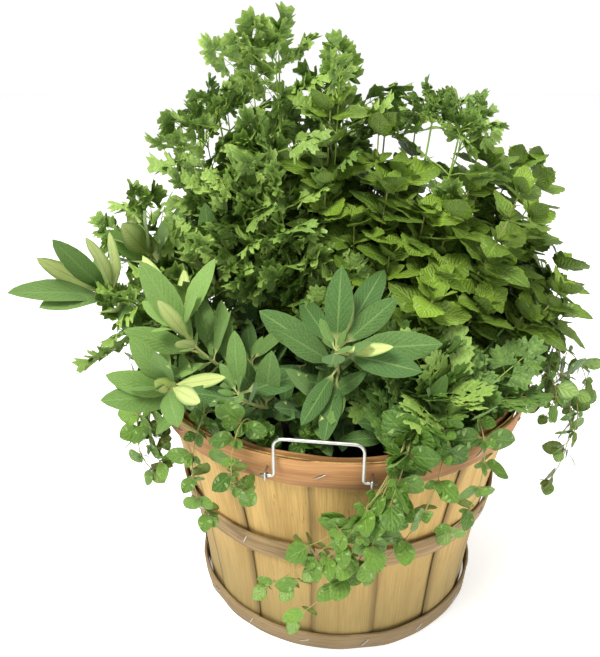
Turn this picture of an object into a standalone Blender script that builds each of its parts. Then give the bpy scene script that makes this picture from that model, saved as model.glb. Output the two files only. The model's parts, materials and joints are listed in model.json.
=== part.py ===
"""Potted herbs in a half-bushel basket: sage, mint, parsley and oregano growing together.

Metres, +Z up. The origin is the middle of the basket's base, on the ground, and -Y is the front.
The basket is sixteen lapped staves held by hoops, with a board bottom, a fill of soil and two
swinging wire handles. Each sprig of herb is one closed body that rises from the soil: a square
stem, grown ring by ring along a curve, whose side faces are drawn out into leaves.
"""

import math

import bmesh
import bpy
from mathutils import Matrix, Vector
from mathutils.bvhtree import BVHTree

# The basket's sides.
STAVE_COUNT = 16
BASE_RADIUS = 0.1420
TOP_RADIUS = 0.1810
BASKET_HEIGHT = 0.235
SIDE_SWEEP = 0.0055
STAVE_THICKNESS = 0.0022
STAVE_LAP = math.radians(1.6)
LAYER_GAP = 0.0008
ROUND_GAP = 0.0010

# The hoops, the bottom and the soil.
HOOP_THICKNESS = 0.0026
RIM_HOOP_HEIGHT = 0.028
INNER_HOOP_HEIGHT = 0.020
MID_HOOP_HEIGHT = 0.022
MID_HOOP_MIDDLE = 0.1205
MID_HOOP_TILT = 0.015
BOTTOM_HOOP_HEIGHT = 0.018
BOARD_THICKNESS = 0.006
SOIL_DROP = 0.028
SOIL_DOME = 0.008

# The handles: a wire bail each, hinged on its two feet.
WIRE_RADIUS = 0.0014
HANDLE_WIDTH = 0.070
HANDLE_REACH = 0.034
HANDLE_FOOT = 0.011
HANDLE_CORNER = 0.007
HINGE_DROP = 0.013
HINGE_STANDOFF = 0.0045
KEEPER_RADIUS = 0.0009
KEEPER_CLEARANCE = 0.0007
HANDLE_ANGLES = {"front": math.radians(-98), "back": math.radians(82)}

# What growing things keep clear of each other and of the handles, and how tall a leaf's foot
# is for each metre of its stem's radius.
LEAF_CLEARANCE = 0.0006
LEAF_FOOT = 3.4
HANDLE_CLEARANCE = 0.005
TOUCH_GAP = 0.0004

# How a stem that hangs over the rim is bowed: up over the rim from its root, out past its tip,
# and down before it turns to its tip, so that it clears the handle.
ARCH_RISE = 0.090
ARCH_REACH = 0.040
ARCH_FALL = -0.010

HOOP_SIDES = 48
UP = Vector((0, 0, 1))

# A kind of herb: stem radius, pairs of leaves, leaf length, leaf width, leaf thickness, the
# leaf's lift above square to the stem, its droop as a share of its length, the share of the stem
# below its first leaves, and the leaf's outline as (share of length, share of half width).
KINDS = {
    "sage": {
        "stem": 0.0018, "pairs": 4, "length": 0.070, "width": 0.024, "thickness": 0.0011,
        "lift": 38, "droop": 0.16, "bare": 0.35, "ends": 0.85,
        "outline": ((0.14, 0.14), (0.55, 1.0), (1.0, 0.14)),
    },
    "mint": {
        "stem": 0.0016, "pairs": 5, "length": 0.046, "width": 0.029, "thickness": 0.0010,
        "lift": 18, "droop": 0.22, "bare": 0.30, "ends": 0.45,
        "outline": ((0.10, 0.16), (0.42, 1.0), (1.0, 0.10)),
    },
    "parsley": {
        "stem": 0.0014, "pairs": 4, "length": 0.050, "width": 0.033, "thickness": 0.0012,
        "lift": 30, "droop": 0.10, "bare": 0.50, "ends": 0.85,
        "outline": ((0.22, 0.10), (0.45, 0.9), (0.58, 0.5), (0.78, 1.0), (1.0, 0.25)),
    },
    "oregano": {
        "stem": 0.0011, "pairs": 6, "length": 0.026, "width": 0.019, "thickness": 0.0010,
        "lift": 20, "droop": 0.12, "bare": 0.26, "ends": 0.75,
        "outline": ((0.18, 0.20), (0.52, 1.0), (1.0, 0.20)),
    },
}

# Each sprig: where it leaves the soil (degrees round, share of the soil's radius) and where its
# stem ends (degrees round, metres out past the rim, metres above the rim).
SPRIGS = {
    "sage_left_far": (192, 0.78, 188, 0.030, 0.080),
    "sage_left_low": (224, 0.78, 218, 0.006, 0.034),
    "sage_left_back": (176, 0.66, 173, 0.000, 0.100),
    "sage_left_near": (228, 0.66, 217, -0.012, 0.078),
    "sage_upright": (190, 0.45, 187, -0.060, 0.100),
    "sage_middle": (245, 0.66, 239, -0.012, 0.042),
    "sage_front": (270, 0.55, 265, -0.054, 0.072),
    "sage_front_right": (292, 0.66, 295, -0.032, 0.020),
    "mint_tall": (80, 0.15, 124, -0.160, 0.240),
    "mint_back": (45, 0.45, 44, -0.083, 0.220),
    "mint_right": (12, 0.45, 12, -0.045, 0.190),
    "mint_right_back": (30, 0.68, 23, 0.030, 0.180),
    "mint_right_side": (5, 0.76, 5, 0.030, 0.095),
    "mint_centre": (330, 0.35, 342, -0.085, 0.160),
    "mint_front": (305, 0.50, 308, -0.070, 0.100),
    "mint_right_front": (338, 0.72, 343, -0.015, 0.070),
    "mint_far_back": (68, 0.78, 65, 0.000, 0.160),
    "parsley_tallest": (150, 0.35, 148, -0.115, 0.285),
    "parsley_top": (95, 0.35, 88, -0.125, 0.265),
    "parsley_left": (155, 0.55, 159, -0.046, 0.210),
    "parsley_middle": (215, 0.20, 208, -0.120, 0.165),
    "parsley_left_back": (160, 0.80, 166, 0.040, 0.105),
    "parsley_right": (355, 0.18, 0, -0.081, 0.215),
    "parsley_front": (296, 0.78, 297, -0.035, 0.038),
    "parsley_back": (120, 0.74, 118, 0.010, 0.150),
    "oregano_front": (290, 0.93, 257, 0.000, -0.158),
    "oregano_front_short": (294, 0.91, 276, 0.006, -0.095),
    "oregano_left": (210, 0.93, 207, 0.014, -0.070),
    "oregano_right_front": (303, 0.94, 296, 0.006, -0.072),
    "oregano_right": (347, 0.92, 349, 0.034, -0.115),
    "oregano_right_high": (357, 0.93, 0, 0.058, -0.055),
    "oregano_back": (105, 0.93, 107, 0.018, -0.080),
}

# The leaf poses tried in turn until one is clear: extra lift, turn about the stem and size.
LEAF_TRIES = (
    (0, 0, 1.0), (18, 0, 1.0), (-18, 0, 1.0), (0, 24, 0.9), (0, -24, 0.9), (34, 0, 0.8),
    (0, 0, 0.7), (20, 26, 0.7), (20, -26, 0.7), (-24, 0, 0.7), (0, 38, 0.6), (0, -38, 0.6),
    (0, 0, 0.5), (30, 30, 0.5), (30, -30, 0.5),
)
STEM_TRIES = 40
STEM_TRY_STEP = 0.004
GOLDEN_ANGLE = math.radians(137.5)

COLOURS = {
    "stave_wood": ((0.62, 0.44, 0.19), 0.75, 0.0),
    "hoop_wood": ((0.38, 0.22, 0.09), 0.75, 0.0),
    "rim_wood": ((0.42, 0.22, 0.08), 0.75, 0.0),
    "wire": ((0.62, 0.63, 0.60), 0.35, 1.0),
    "soil": ((0.018, 0.013, 0.009), 0.95, 0.0),
    "sage": ((0.22, 0.36, 0.14), 0.65, 0.0),
    "mint": ((0.13, 0.28, 0.06), 0.50, 0.0),
    "parsley": ((0.09, 0.22, 0.04), 0.50, 0.0),
    "oregano": ((0.16, 0.33, 0.08), 0.50, 0.0),
}


def clear_scene():
    for obj in list(bpy.data.objects):
        bpy.data.objects.remove(obj, do_unlink=True)


def make_collection(name):
    collection = bpy.data.collections.new(name)
    bpy.context.scene.collection.children.link(collection)
    return collection


def make_material(name):
    """One Principled material, from its colour, roughness and metallic value."""
    colour, roughness, metallic = COLOURS[name]
    material = bpy.data.materials.new(name)
    material.use_nodes = True
    surface = material.node_tree.nodes["Principled BSDF"]
    surface.inputs["Base Color"].default_value = (*colour, 1.0)
    surface.inputs["Roughness"].default_value = roughness
    surface.inputs["Metallic"].default_value = metallic
    return material


def add_object(name, data, material):
    obj = bpy.data.objects.new(name, data)
    data.materials.append(material)
    PARTS.objects.link(obj)
    return obj


def mesh_from(bm, name):
    mesh = bpy.data.meshes.new(name)
    bm.to_mesh(mesh)
    bm.free()
    mesh.shade_smooth()
    mesh.set_sharp_from_angle(angle=math.radians(35))
    return mesh


def polar(angle, radius, z):
    return Vector((radius * math.cos(angle), radius * math.sin(angle), z))


# --- The basket ---


def outer_face(z):
    """Radius of the outer staves' outer face at height z: a cone that curves in a little."""
    share = z / BASKET_HEIGHT
    straight = BASE_RADIUS + (TOP_RADIUS - BASE_RADIUS) * share
    return straight - 4 * SIDE_SWEEP * share * (1 - share)


def inner_layer_face(z):
    """Outer face of the inner layer of staves."""
    return outer_face(z) - STAVE_THICKNESS - LAYER_GAP


def inside_face(z):
    """The basket's clear inside radius."""
    return inner_layer_face(z) - STAVE_THICKNESS


def hoop_inner_face(z):
    return outer_face(z) + ROUND_GAP


def hoop_outer_face(z):
    return hoop_inner_face(z) + HOOP_THICKNESS


def bent_sheet(angle, half_angle, bottom, top, radius_at, columns, rows, tilt=0.0):
    """A grid wrapped on the basket's side, facing out; a full turn is welded into a ring."""
    bm = bmesh.new()
    bmesh.ops.create_grid(bm, x_segments=columns, y_segments=rows, size=0.5)
    middle_radius = radius_at((bottom + top) / 2)
    for vert in bm.verts:
        turn = angle + 2 * half_angle * vert.co.x
        z = bottom + (top - bottom) * (vert.co.y + 0.5) - tilt * middle_radius * math.cos(turn)
        vert.co = polar(turn, radius_at(z), z)
    if half_angle == math.pi:
        bmesh.ops.remove_doubles(bm, verts=bm.verts, dist=1e-5)
    return bm


def thicken(obj, thickness, offset):
    """Solidify: offset -1 grows inwards and 1 outwards."""
    solidify = obj.modifiers.new("thickness", "SOLIDIFY")
    solidify.thickness = thickness
    solidify.offset = offset
    solidify.use_even_offset = True


def make_stave(index, material):
    layer = outer_face if index % 2 == 0 else inner_layer_face
    half_angle = math.pi / STAVE_COUNT + STAVE_LAP
    angle = 2 * math.pi * index / STAVE_COUNT
    bm = bent_sheet(angle, half_angle, 0.0, BASKET_HEIGHT, layer, columns=4, rows=5)
    name = f"stave_{index + 1:02d}"
    stave = add_object(name, mesh_from(bm, name), material)
    thicken(stave, STAVE_THICKNESS, -1)


def make_hoop(name, bottom, height, material, tilt=0.0):
    """A flat band round the outside of the staves."""
    bm = bent_sheet(0.0, math.pi, bottom, bottom + height, hoop_inner_face, HOOP_SIDES, 1, tilt)
    hoop = add_object(name, mesh_from(bm, name), material)
    thicken(hoop, HOOP_THICKNESS, 1)


def make_inner_hoop(material):
    """The band inside the rim, which the outer rim hoop is stapled to through the staves."""

    def face(z):
        return inside_face(z) - ROUND_GAP

    bottom = BASKET_HEIGHT - INNER_HOOP_HEIGHT
    bm = bent_sheet(0.0, math.pi, bottom, BASKET_HEIGHT, face, HOOP_SIDES, 1)
    name = "rim_hoop_inner"
    hoop = add_object(name, mesh_from(bm, name), material)
    thicken(hoop, HOOP_THICKNESS, -1)


def make_bottom_board(material):
    """A round board inside the staves, flush with their lower ends."""
    bm = bmesh.new()
    bmesh.ops.create_cone(
        bm, cap_ends=True, cap_tris=False, segments=HOOP_SIDES, depth=BOARD_THICKNESS,
        radius1=inside_face(0.0) - ROUND_GAP, radius2=inside_face(BOARD_THICKNESS) - ROUND_GAP,
    )
    bmesh.ops.translate(bm, verts=bm.verts, vec=(0, 0, BOARD_THICKNESS / 2))
    add_object("bottom_board", mesh_from(bm, "bottom_board"), material)


def soil_radius(z):
    """The soil stops short of the staves and of the inner rim hoop's underside."""
    return inside_face(z) - ROUND_GAP


def soil_edge():
    """Height of the soil's edge, below the inner rim hoop."""
    return BASKET_HEIGHT - max(SOIL_DROP, INNER_HOOP_HEIGHT + TOUCH_GAP)


def soil_top(radius):
    """Height of the soil's domed top at a radius."""
    share = radius / soil_radius(soil_edge())
    return soil_edge() + SOIL_DOME * (1 - share * share)


def make_soil(material):
    """A turned body: down the outside from the crown of the dome to the board."""
    edge = soil_radius(soil_edge())
    floor = BOARD_THICKNESS + TOUCH_GAP
    profile = [(edge * share, soil_top(edge * share)) for share in (0.0, 0.35, 0.7, 1.0)]
    for step in range(1, 4):
        z = soil_edge() + (floor - soil_edge()) * step / 3
        profile.append((soil_radius(z), z))
    profile.append((0.0, floor))
    bm = bmesh.new()
    verts = [bm.verts.new((radius, 0, z)) for radius, z in profile]
    for first, second in zip(verts, verts[1:]):
        bm.edges.new((first, second))
    soil = add_object("soil", mesh_from(bm, "soil"), material)
    turn = soil.modifiers.new("turn", "SCREW")
    turn.steps = 32
    turn.render_steps = 32
    turn.use_merge_vertices = True
    turn.merge_threshold = 0.00005


# --- The handles ---


def handle_frame(angle):
    """Place and turn of a handle: +X runs along the rim, -Y points out and the origin is on
    the hinge axis."""
    z = BASKET_HEIGHT - HINGE_DROP
    radius = hoop_outer_face(z) + HINGE_STANDOFF
    return Matrix.Translation(polar(angle, radius, z)) @ Matrix.Rotation(angle + math.pi / 2, 4, "Z")


def rounded_path(corners, radius, steps):
    """A path through the corners, each inner one replaced by an arc of the given radius."""
    path = [corners[0]]
    for before, corner, after in zip(corners, corners[1:], corners[2:]):
        back = (before - corner).normalized()
        ahead = (after - corner).normalized()
        centre = corner + (back + ahead) * radius
        for step in range(steps + 1):
            turn = math.pi / 2 * step / steps
            path.append(centre - ahead * radius * math.cos(turn) - back * radius * math.sin(turn))
    path.append(corners[-1])
    return path


def make_wire(name, path, radius, material, matrix):
    """A round wire along a path, as a curve with filled caps."""
    curve = bpy.data.curves.new(name, "CURVE")
    curve.dimensions = "3D"
    curve.bevel_depth = radius
    curve.bevel_resolution = 1
    curve.use_fill_caps = True
    spline = curve.splines.new("POLY")
    spline.points.add(len(path) - 1)
    for point, place in zip(spline.points, path):
        point.co = (*place, 1.0)
    wire = add_object(name, curve, material)
    wire.matrix_world = matrix
    return wire


def make_handle(side, angle, material):
    """The bail stands up from its two feet, which lie along the hinge axis."""
    half = HANDLE_WIDTH / 2
    corners = [
        Vector((-half - HANDLE_FOOT, 0, 0)), Vector((-half, 0, 0)),
        Vector((-half, 0, HANDLE_REACH)), Vector((half, 0, HANDLE_REACH)),
        Vector((half, 0, 0)), Vector((half + HANDLE_FOOT, 0, 0)),
    ]
    path = [corners[0]]
    path += rounded_path(corners[:3], 2 * WIRE_RADIUS, 2)[1:-1]
    path += rounded_path(corners[1:5], HANDLE_CORNER, 3)[1:-1]
    path += rounded_path(corners[3:], 2 * WIRE_RADIUS, 2)[1:-1]
    path.append(corners[-1])
    make_wire(f"handle_{side}", path, WIRE_RADIUS, material, handle_frame(angle))


def make_keepers(side, angle, material):
    """A staple over each foot, its ends just short of the rim hoop."""
    frame = handle_frame(angle)
    spread = WIRE_RADIUS + KEEPER_RADIUS + KEEPER_CLEARANCE
    hinge_radius = math.hypot(frame.translation.x, frame.translation.y)
    for end, sign in (("left", -1), ("right", 1)):
        x = sign * (HANDLE_WIDTH / 2 + HANDLE_FOOT * 0.6)
        hoop_face = hoop_outer_face(frame.translation.z + spread + KEEPER_RADIUS)
        near_side = abs(x) - KEEPER_RADIUS
        depth = hinge_radius - math.sqrt(hoop_face**2 - near_side**2) - TOUCH_GAP
        corners = [
            Vector((x, depth, spread)), Vector((x, -spread, spread)),
            Vector((x, -spread, -spread)), Vector((x, depth, -spread)),
        ]
        path = rounded_path(corners, KEEPER_RADIUS, 2)
        make_wire(f"keeper_{side}_{end}", path, KEEPER_RADIUS, material, frame)


def handle_space(angle):
    """The space a handle swings through and a hand reaches into, as a closed box of faces."""
    bm = bmesh.new()
    bmesh.ops.create_cube(bm, size=1.0)
    swing = HANDLE_REACH + HANDLE_CLEARANCE
    width = HANDLE_WIDTH + 2 * (HANDLE_FOOT + HANDLE_CLEARANCE)
    inside = 2 * HANDLE_CLEARANCE
    for vert in bm.verts:
        along, out, height = vert.co
        vert.co = (along * width, inside - (out + 0.5) * (swing + inside), height)
        vert.co.z = -HANDLE_CLEARANCE + (height + 0.5) * (swing + HANDLE_CLEARANCE)
    bm.transform(handle_frame(angle))
    tree = BVHTree.FromBMesh(bm)
    bm.free()
    return tree


# --- The herbs ---


def world_tree(obj):
    """The faces of a finished object, where they stand, for testing what runs into it."""
    graph = bpy.context.evaluated_depsgraph_get()
    shape = obj.evaluated_get(graph)
    mesh = shape.to_mesh()
    places = [obj.matrix_world @ vert.co for vert in mesh.vertices]
    tree = BVHTree.FromPolygons(places, [tuple(face.vertices) for face in mesh.polygons])
    shape.to_mesh_clear()
    return tree


def ring_tree(rings):
    """The faces of a square tube through rings of four corners, closed at both ends."""
    places = [corner for ring in rings for corner in ring]
    faces = [(3, 2, 1, 0)]
    for start in range(0, len(places) - 4, 4):
        for side in range(4):
            after = (side + 1) % 4
            faces.append((start + side, start + after, start + 4 + after, start + 4 + side))
    last = len(places) - 4
    faces.append((last, last + 1, last + 2, last + 3))
    return BVHTree.FromPolygons(places, faces)


def is_clear(tree, others):
    return not any(tree.overlap(other) for other in others)


def bezier(points, share):
    """Cubic Bezier curve: its place and its heading at a share of the way."""
    rest = 1 - share
    weights = (rest**3, 3 * rest * rest * share, 3 * rest * share * share, share**3)
    place = sum((point * weight for point, weight in zip(points, weights)), Vector())
    steps = [after - before for before, after in zip(points, points[1:])]
    slopes = (rest * rest, 2 * rest * share, share * share)
    heading = sum((step * slope for step, slope in zip(steps, slopes)), Vector())
    return place, heading.normalized()


def stem_points(name, nudge):
    """The four points of a stem's curve. A stem that ends above the rim leans towards its tip;
    one that ends below the rim arches over it and hangs."""
    root_turn, root_share, tip_turn, reach, height = SPRIGS[name]
    rim = hoop_outer_face(BASKET_HEIGHT)
    root_radius = root_share * soil_radius(soil_edge())
    root = polar(math.radians(root_turn), root_radius, soil_top(root_radius) + LEAF_CLEARANCE)
    tip = polar(math.radians(tip_turn), rim + reach, BASKET_HEIGHT + height)
    span = tip - root
    if height > 0:
        first = root + UP * span.length * 0.4
        second = tip - (span.normalized() + UP * 0.3).normalized() * span.length * 0.35
    else:
        middle = (root_radius + rim) / 2
        first = polar(math.radians(root_turn), middle, BASKET_HEIGHT + ARCH_RISE)
        second = polar(math.radians(root_turn), rim + reach + ARCH_REACH, BASKET_HEIGHT + ARCH_FALL)
    shift = polar(GOLDEN_ANGLE * nudge, STEM_TRY_STEP * math.sqrt(nudge), 0.0)
    return root + shift * 0.5, first + shift, second + shift, tip + shift * 0.5


def square_ring(place, across, along, radius):
    """Four corners whose sides face the two directions and their opposites."""
    return [place + (across * x + along * y) * radius for x, y in ((1, 1), (-1, 1), (-1, -1), (1, -1))]


def stem_rings(name, nudge):
    """Rings up the stem. Each leaf pair has a short stretch of stem between two rings, and the
    frame is carried along the curve so that the stem doesn't twist."""
    kind = KINDS[name.split("_")[0]]
    points = stem_points(name, nudge)
    places = [bezier(points, step / 12)[0] for step in range(13)]
    length = sum((after - before).length for before, after in zip(places, places[1:]))
    foot = LEAF_FOOT * kind["stem"] / length / 2
    shares = [0.0]
    for pair in range(kind["pairs"]):
        share = kind["bare"] + (0.97 - kind["bare"]) * pair / (kind["pairs"] - 1)
        shares += [share - foot, share + foot]
    across = UP.orthogonal().normalized()
    rings = []
    for share in shares:
        place, heading = bezier(points, share)
        across = (across - heading * across.dot(heading)).normalized()
        along = heading.cross(across)
        radius = kind["stem"] * (1 - 0.45 * share)
        rings.append((place, heading, across, along, radius))
    return rings


def leaf_sections(kind, base, out, lean, size, grown):
    """Square rings along a leaf from its base: the leaf sets off along `out`, its upper face
    towards `lean`, and bends away from it by the droop. `grown` swells it all round."""
    side = lean.cross(out).normalized()
    sections = []
    for share, width in kind["outline"]:
        sag = kind["droop"] * share * share
        place = base + (out * share - lean * sag) * kind["length"] * size
        half = kind["width"] * size * width / 2 + grown
        thick = kind["thickness"] / 2 + grown
        sections.append([place + side * x * half + lean * y * thick
                         for x, y in ((1, 1), (-1, 1), (-1, -1), (1, -1))])
    return side, sections


def ring_order(face, side, lean):
    """A four-sided face's vertices, starting with the one nearest a square ring's first corner;
    both go round the same way."""
    middle = face.calc_center_median()
    verts = list(face.verts)
    start = max(range(4), key=lambda index: (verts[index].co - middle).dot(side + lean))
    return verts[start:] + verts[:start]


def draw_out(bm, face, side, lean, sections):
    """Extrudes a face through the sections, each corner to the section's like corner."""
    for section in sections:
        face = bmesh.ops.extrude_discrete_faces(bm, faces=[face])["faces"][0]
        for vert, place in zip(ring_order(face, side, lean), section):
            vert.co = place
    return face


def grow_stem(rings):
    """The stem as a mesh, with the faces that each pair of leaves grows from."""
    bm = bmesh.new()
    bmesh.ops.create_cube(bm, size=1.0)
    cap = max(bm.faces, key=lambda face: face.calc_center_median().z)
    for vert in bm.verts:
        place, heading, across, along, radius = rings[0 if vert.co.z < 0 else 1]
        vert.co = place + (across * vert.co.x + along * vert.co.y) * 2 * radius
    nodes = []
    for index, (place, heading, across, along, radius) in enumerate(rings[2:]):
        cap = draw_out(bm, cap, across, along, [square_ring(place, across, along, radius)])
        if index % 2 == 0:
            sides = [face for edge in cap.edges for face in edge.link_faces if face is not cap]
            nodes.append((place, heading, across, along, sides))
    return bm, cap, nodes


def leaf_bases(nodes, cap, rings):
    """Each leaf's face, base place, outward direction and stem heading, pairs turned a quarter
    from one to the next, and one leaf at the tip."""
    for index, (place, heading, across, along, sides) in enumerate(nodes):
        pair_axis = across if index % 2 == 0 else along
        for sign in (1, -1):
            out = pair_axis * sign
            face = max(sides, key=lambda side: (side.calc_center_median() - place).dot(out))
            yield index / len(nodes), face, face.calc_center_median(), out, heading
    place, heading, across, along, radius = rings[-1]
    yield 1.0, cap, place, heading, along


def grow_leaves(kind, bm, cap, nodes, rings, own_stem, placed):
    """Draws out each leaf in the first of the tried poses that runs into nothing."""
    for share, face, base, out, heading in list(leaf_bases(nodes, cap, rings)):
        at_tip = share == 1.0
        size = 1.0 + (kind["ends"] - 1.0) * share
        for extra, turn, factor in LEAF_TRIES:
            lift = math.radians(extra if at_tip else kind["lift"] + extra)
            swung = Matrix.Rotation(math.radians(turn), 3, heading) @ out
            leaf_out = swung * math.cos(lift) + heading * math.sin(lift)
            lean = heading * math.cos(lift) - swung * math.sin(lift)
            grown = leaf_sections(kind, base, leaf_out, lean, size * factor, LEAF_CLEARANCE)[1]
            blade = ring_tree(grown)
            side, sections = leaf_sections(kind, base, leaf_out, lean, size * factor, 0.0)
            foot = [base + (vert.co - base) * 0.85 + leaf_out * LEAF_CLEARANCE
                    for vert in ring_order(face, side, lean)]
            if is_clear(blade, [own_stem]) and is_clear(ring_tree([foot] + grown), placed):
                draw_out(bm, face, side, lean, sections)
                placed.append(ring_tree([foot] + sections))
                break


def make_herbs(materials, standing):
    """Sets every stem first, each moved aside a little until it is clear, then the leaves."""
    placed = list(standing)
    sprigs = []
    for name in SPRIGS:
        for nudge in range(STEM_TRIES):
            rings = stem_rings(name, nudge)
            swollen = ring_tree([square_ring(place, across, along, radius + LEAF_CLEARANCE)
                                 for place, heading, across, along, radius in rings])
            if is_clear(swollen, placed):
                break
        own_stem = ring_tree([square_ring(place, across, along, radius)
                              for place, heading, across, along, radius in rings])
        placed.append(own_stem)
        bm, cap, nodes = grow_stem(rings)
        sprigs.append((name, bm, cap, nodes, rings, own_stem))
    for name, bm, cap, nodes, rings, own_stem in sprigs:
        kind_name = name.split("_")[0]
        others = [tree for tree in placed if tree is not own_stem]
        before = len(others)
        grow_leaves(KINDS[kind_name], bm, cap, nodes, rings, own_stem, others)
        placed += others[before:]
        add_object(name, mesh_from(bm, name), materials[kind_name])


clear_scene()
PARTS = make_collection("potted_herbs")
MATERIALS = {name: make_material(name) for name in COLOURS}

for stave_index in range(STAVE_COUNT):
    make_stave(stave_index, MATERIALS["stave_wood"])
make_bottom_board(MATERIALS["stave_wood"])
make_hoop("bottom_hoop", 0.0, BOTTOM_HOOP_HEIGHT, MATERIALS["hoop_wood"])
make_hoop("mid_hoop", MID_HOOP_MIDDLE - MID_HOOP_HEIGHT / 2, MID_HOOP_HEIGHT,
          MATERIALS["hoop_wood"], MID_HOOP_TILT)
make_hoop("rim_hoop_outer", BASKET_HEIGHT - RIM_HOOP_HEIGHT, RIM_HOOP_HEIGHT,
          MATERIALS["rim_wood"])
make_inner_hoop(MATERIALS["rim_wood"])
make_soil(MATERIALS["soil"])
for handle_side, handle_angle in HANDLE_ANGLES.items():
    make_handle(handle_side, handle_angle, MATERIALS["wire"])
    make_keepers(handle_side, handle_angle, MATERIALS["wire"])

bpy.context.view_layer.update()
STANDING = [world_tree(obj) for obj in PARTS.objects]
STANDING += [handle_space(handle_angle) for handle_angle in HANDLE_ANGLES.values()]
make_herbs(MATERIALS, STANDING)
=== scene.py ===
"""Potted herbs: sage, mint, parsley and oregano in a half-bushel stave basket.

The staves, hoops, soil, wires and every sprig are surfaces worked out with numpy around the
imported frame. Lengths are in metres.
"""

import json
import math

import bpy
import numpy as np
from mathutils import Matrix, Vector


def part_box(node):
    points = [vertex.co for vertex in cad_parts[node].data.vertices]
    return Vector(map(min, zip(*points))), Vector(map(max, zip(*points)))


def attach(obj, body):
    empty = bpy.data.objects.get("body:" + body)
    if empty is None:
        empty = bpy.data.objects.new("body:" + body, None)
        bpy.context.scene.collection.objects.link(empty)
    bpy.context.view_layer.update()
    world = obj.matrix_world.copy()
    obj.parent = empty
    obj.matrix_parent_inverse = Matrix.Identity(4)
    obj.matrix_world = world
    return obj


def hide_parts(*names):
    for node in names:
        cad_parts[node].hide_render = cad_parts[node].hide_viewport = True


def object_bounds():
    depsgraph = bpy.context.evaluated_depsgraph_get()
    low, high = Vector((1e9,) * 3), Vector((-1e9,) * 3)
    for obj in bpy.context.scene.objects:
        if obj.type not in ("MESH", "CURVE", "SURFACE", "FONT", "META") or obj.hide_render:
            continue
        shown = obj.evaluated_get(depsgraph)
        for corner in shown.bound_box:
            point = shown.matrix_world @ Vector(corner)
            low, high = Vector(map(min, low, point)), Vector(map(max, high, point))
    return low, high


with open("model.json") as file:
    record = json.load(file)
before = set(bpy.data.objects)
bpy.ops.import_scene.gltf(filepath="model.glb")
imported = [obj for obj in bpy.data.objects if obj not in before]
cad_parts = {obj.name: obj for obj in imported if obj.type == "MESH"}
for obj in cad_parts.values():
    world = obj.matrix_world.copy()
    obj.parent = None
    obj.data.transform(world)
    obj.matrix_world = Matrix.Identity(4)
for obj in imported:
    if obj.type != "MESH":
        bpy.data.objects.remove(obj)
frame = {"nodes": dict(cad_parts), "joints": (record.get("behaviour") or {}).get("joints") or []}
CAD_BOX = [list(corner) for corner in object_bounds()]

# ---------------------------------------------------------------- sizes

HEIGHT = 0.235
HOOP_THICKNESS = 0.0026
HOOP_FIT = 0.0003
STAVE_THICKNESS = 0.0022
VENEER = 0.0016
VENEER_GAP = 0.0003
FIT = 0.0010
TOP_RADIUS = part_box("rim_hoop_outer")[1][0] - HOOP_THICKNESS - FIT
BASE_RADIUS = 0.1420
SIDE_SWEEP = 0.0055
STAVE_COUNT = 16
STAVE_LAP = math.radians(1.2)
MID_MIDDLE = 0.1205
MID_TILT = 0.015
MID_RADIUS = 0.164
RIM_BAND = 0.028
SOIL_EDGE = HEIGHT - RIM_BAND
SOIL_DOME = 0.007
SOIL_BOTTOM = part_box("soil")[0][2]
HINGES = {joint["name"]: joint for joint in frame["joints"]}
SIDES = ("front", "back")
UP = np.array([0.0, 0.0, 1.0])
FORWARD = np.array([0.0, -1.0, 0.0])
RNG = np.random.default_rng(11)


def outer_face(z):
    """Radius of the staves' outside: a cone that curves in by a parabola at mid height."""
    share = np.asarray(z, float) / HEIGHT
    return BASE_RADIUS + (TOP_RADIUS - BASE_RADIUS) * share - 4 * SIDE_SWEEP * share * (1 - share)


def hoop_face(z):
    return outer_face(z) + HOOP_FIT


def hoop_outside(z):
    return outer_face(z) + FIT + HOOP_THICKNESS


def inside_face(z):
    return outer_face(z) - 2 * STAVE_THICKNESS - 0.0008 - FIT


def unit(vector):
    vector = np.asarray(vector, float)
    return vector / np.maximum(np.linalg.norm(vector, axis=-1, keepdims=True), 1e-12)


def polar(degrees, radius, z):
    turn = math.radians(degrees)
    return np.array([radius * math.cos(turn), radius * math.sin(turn), z])


def around_axis(radius, turn, z):
    """Points at radii and angles round the basket's axis."""
    return np.stack([radius * np.cos(turn), radius * np.sin(turn), z], -1)


# ---------------------------------------------------------------- meshes


def grid_faces(rows, columns, closed_columns=False, closed_rows=False):
    """Quads of a grid of rows by columns of points, wrapped round where it is closed."""
    row = np.arange(rows if closed_rows else rows - 1)
    column = np.arange(columns if closed_columns else columns - 1)
    r, c = np.meshgrid(row, column, indexing="ij")
    r2, c2 = (r + 1) % rows, (c + 1) % columns
    quads = np.stack([r * columns + c, r * columns + c2, r2 * columns + c2, r2 * columns + c], -1)
    return quads.reshape(-1, 4)


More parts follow.
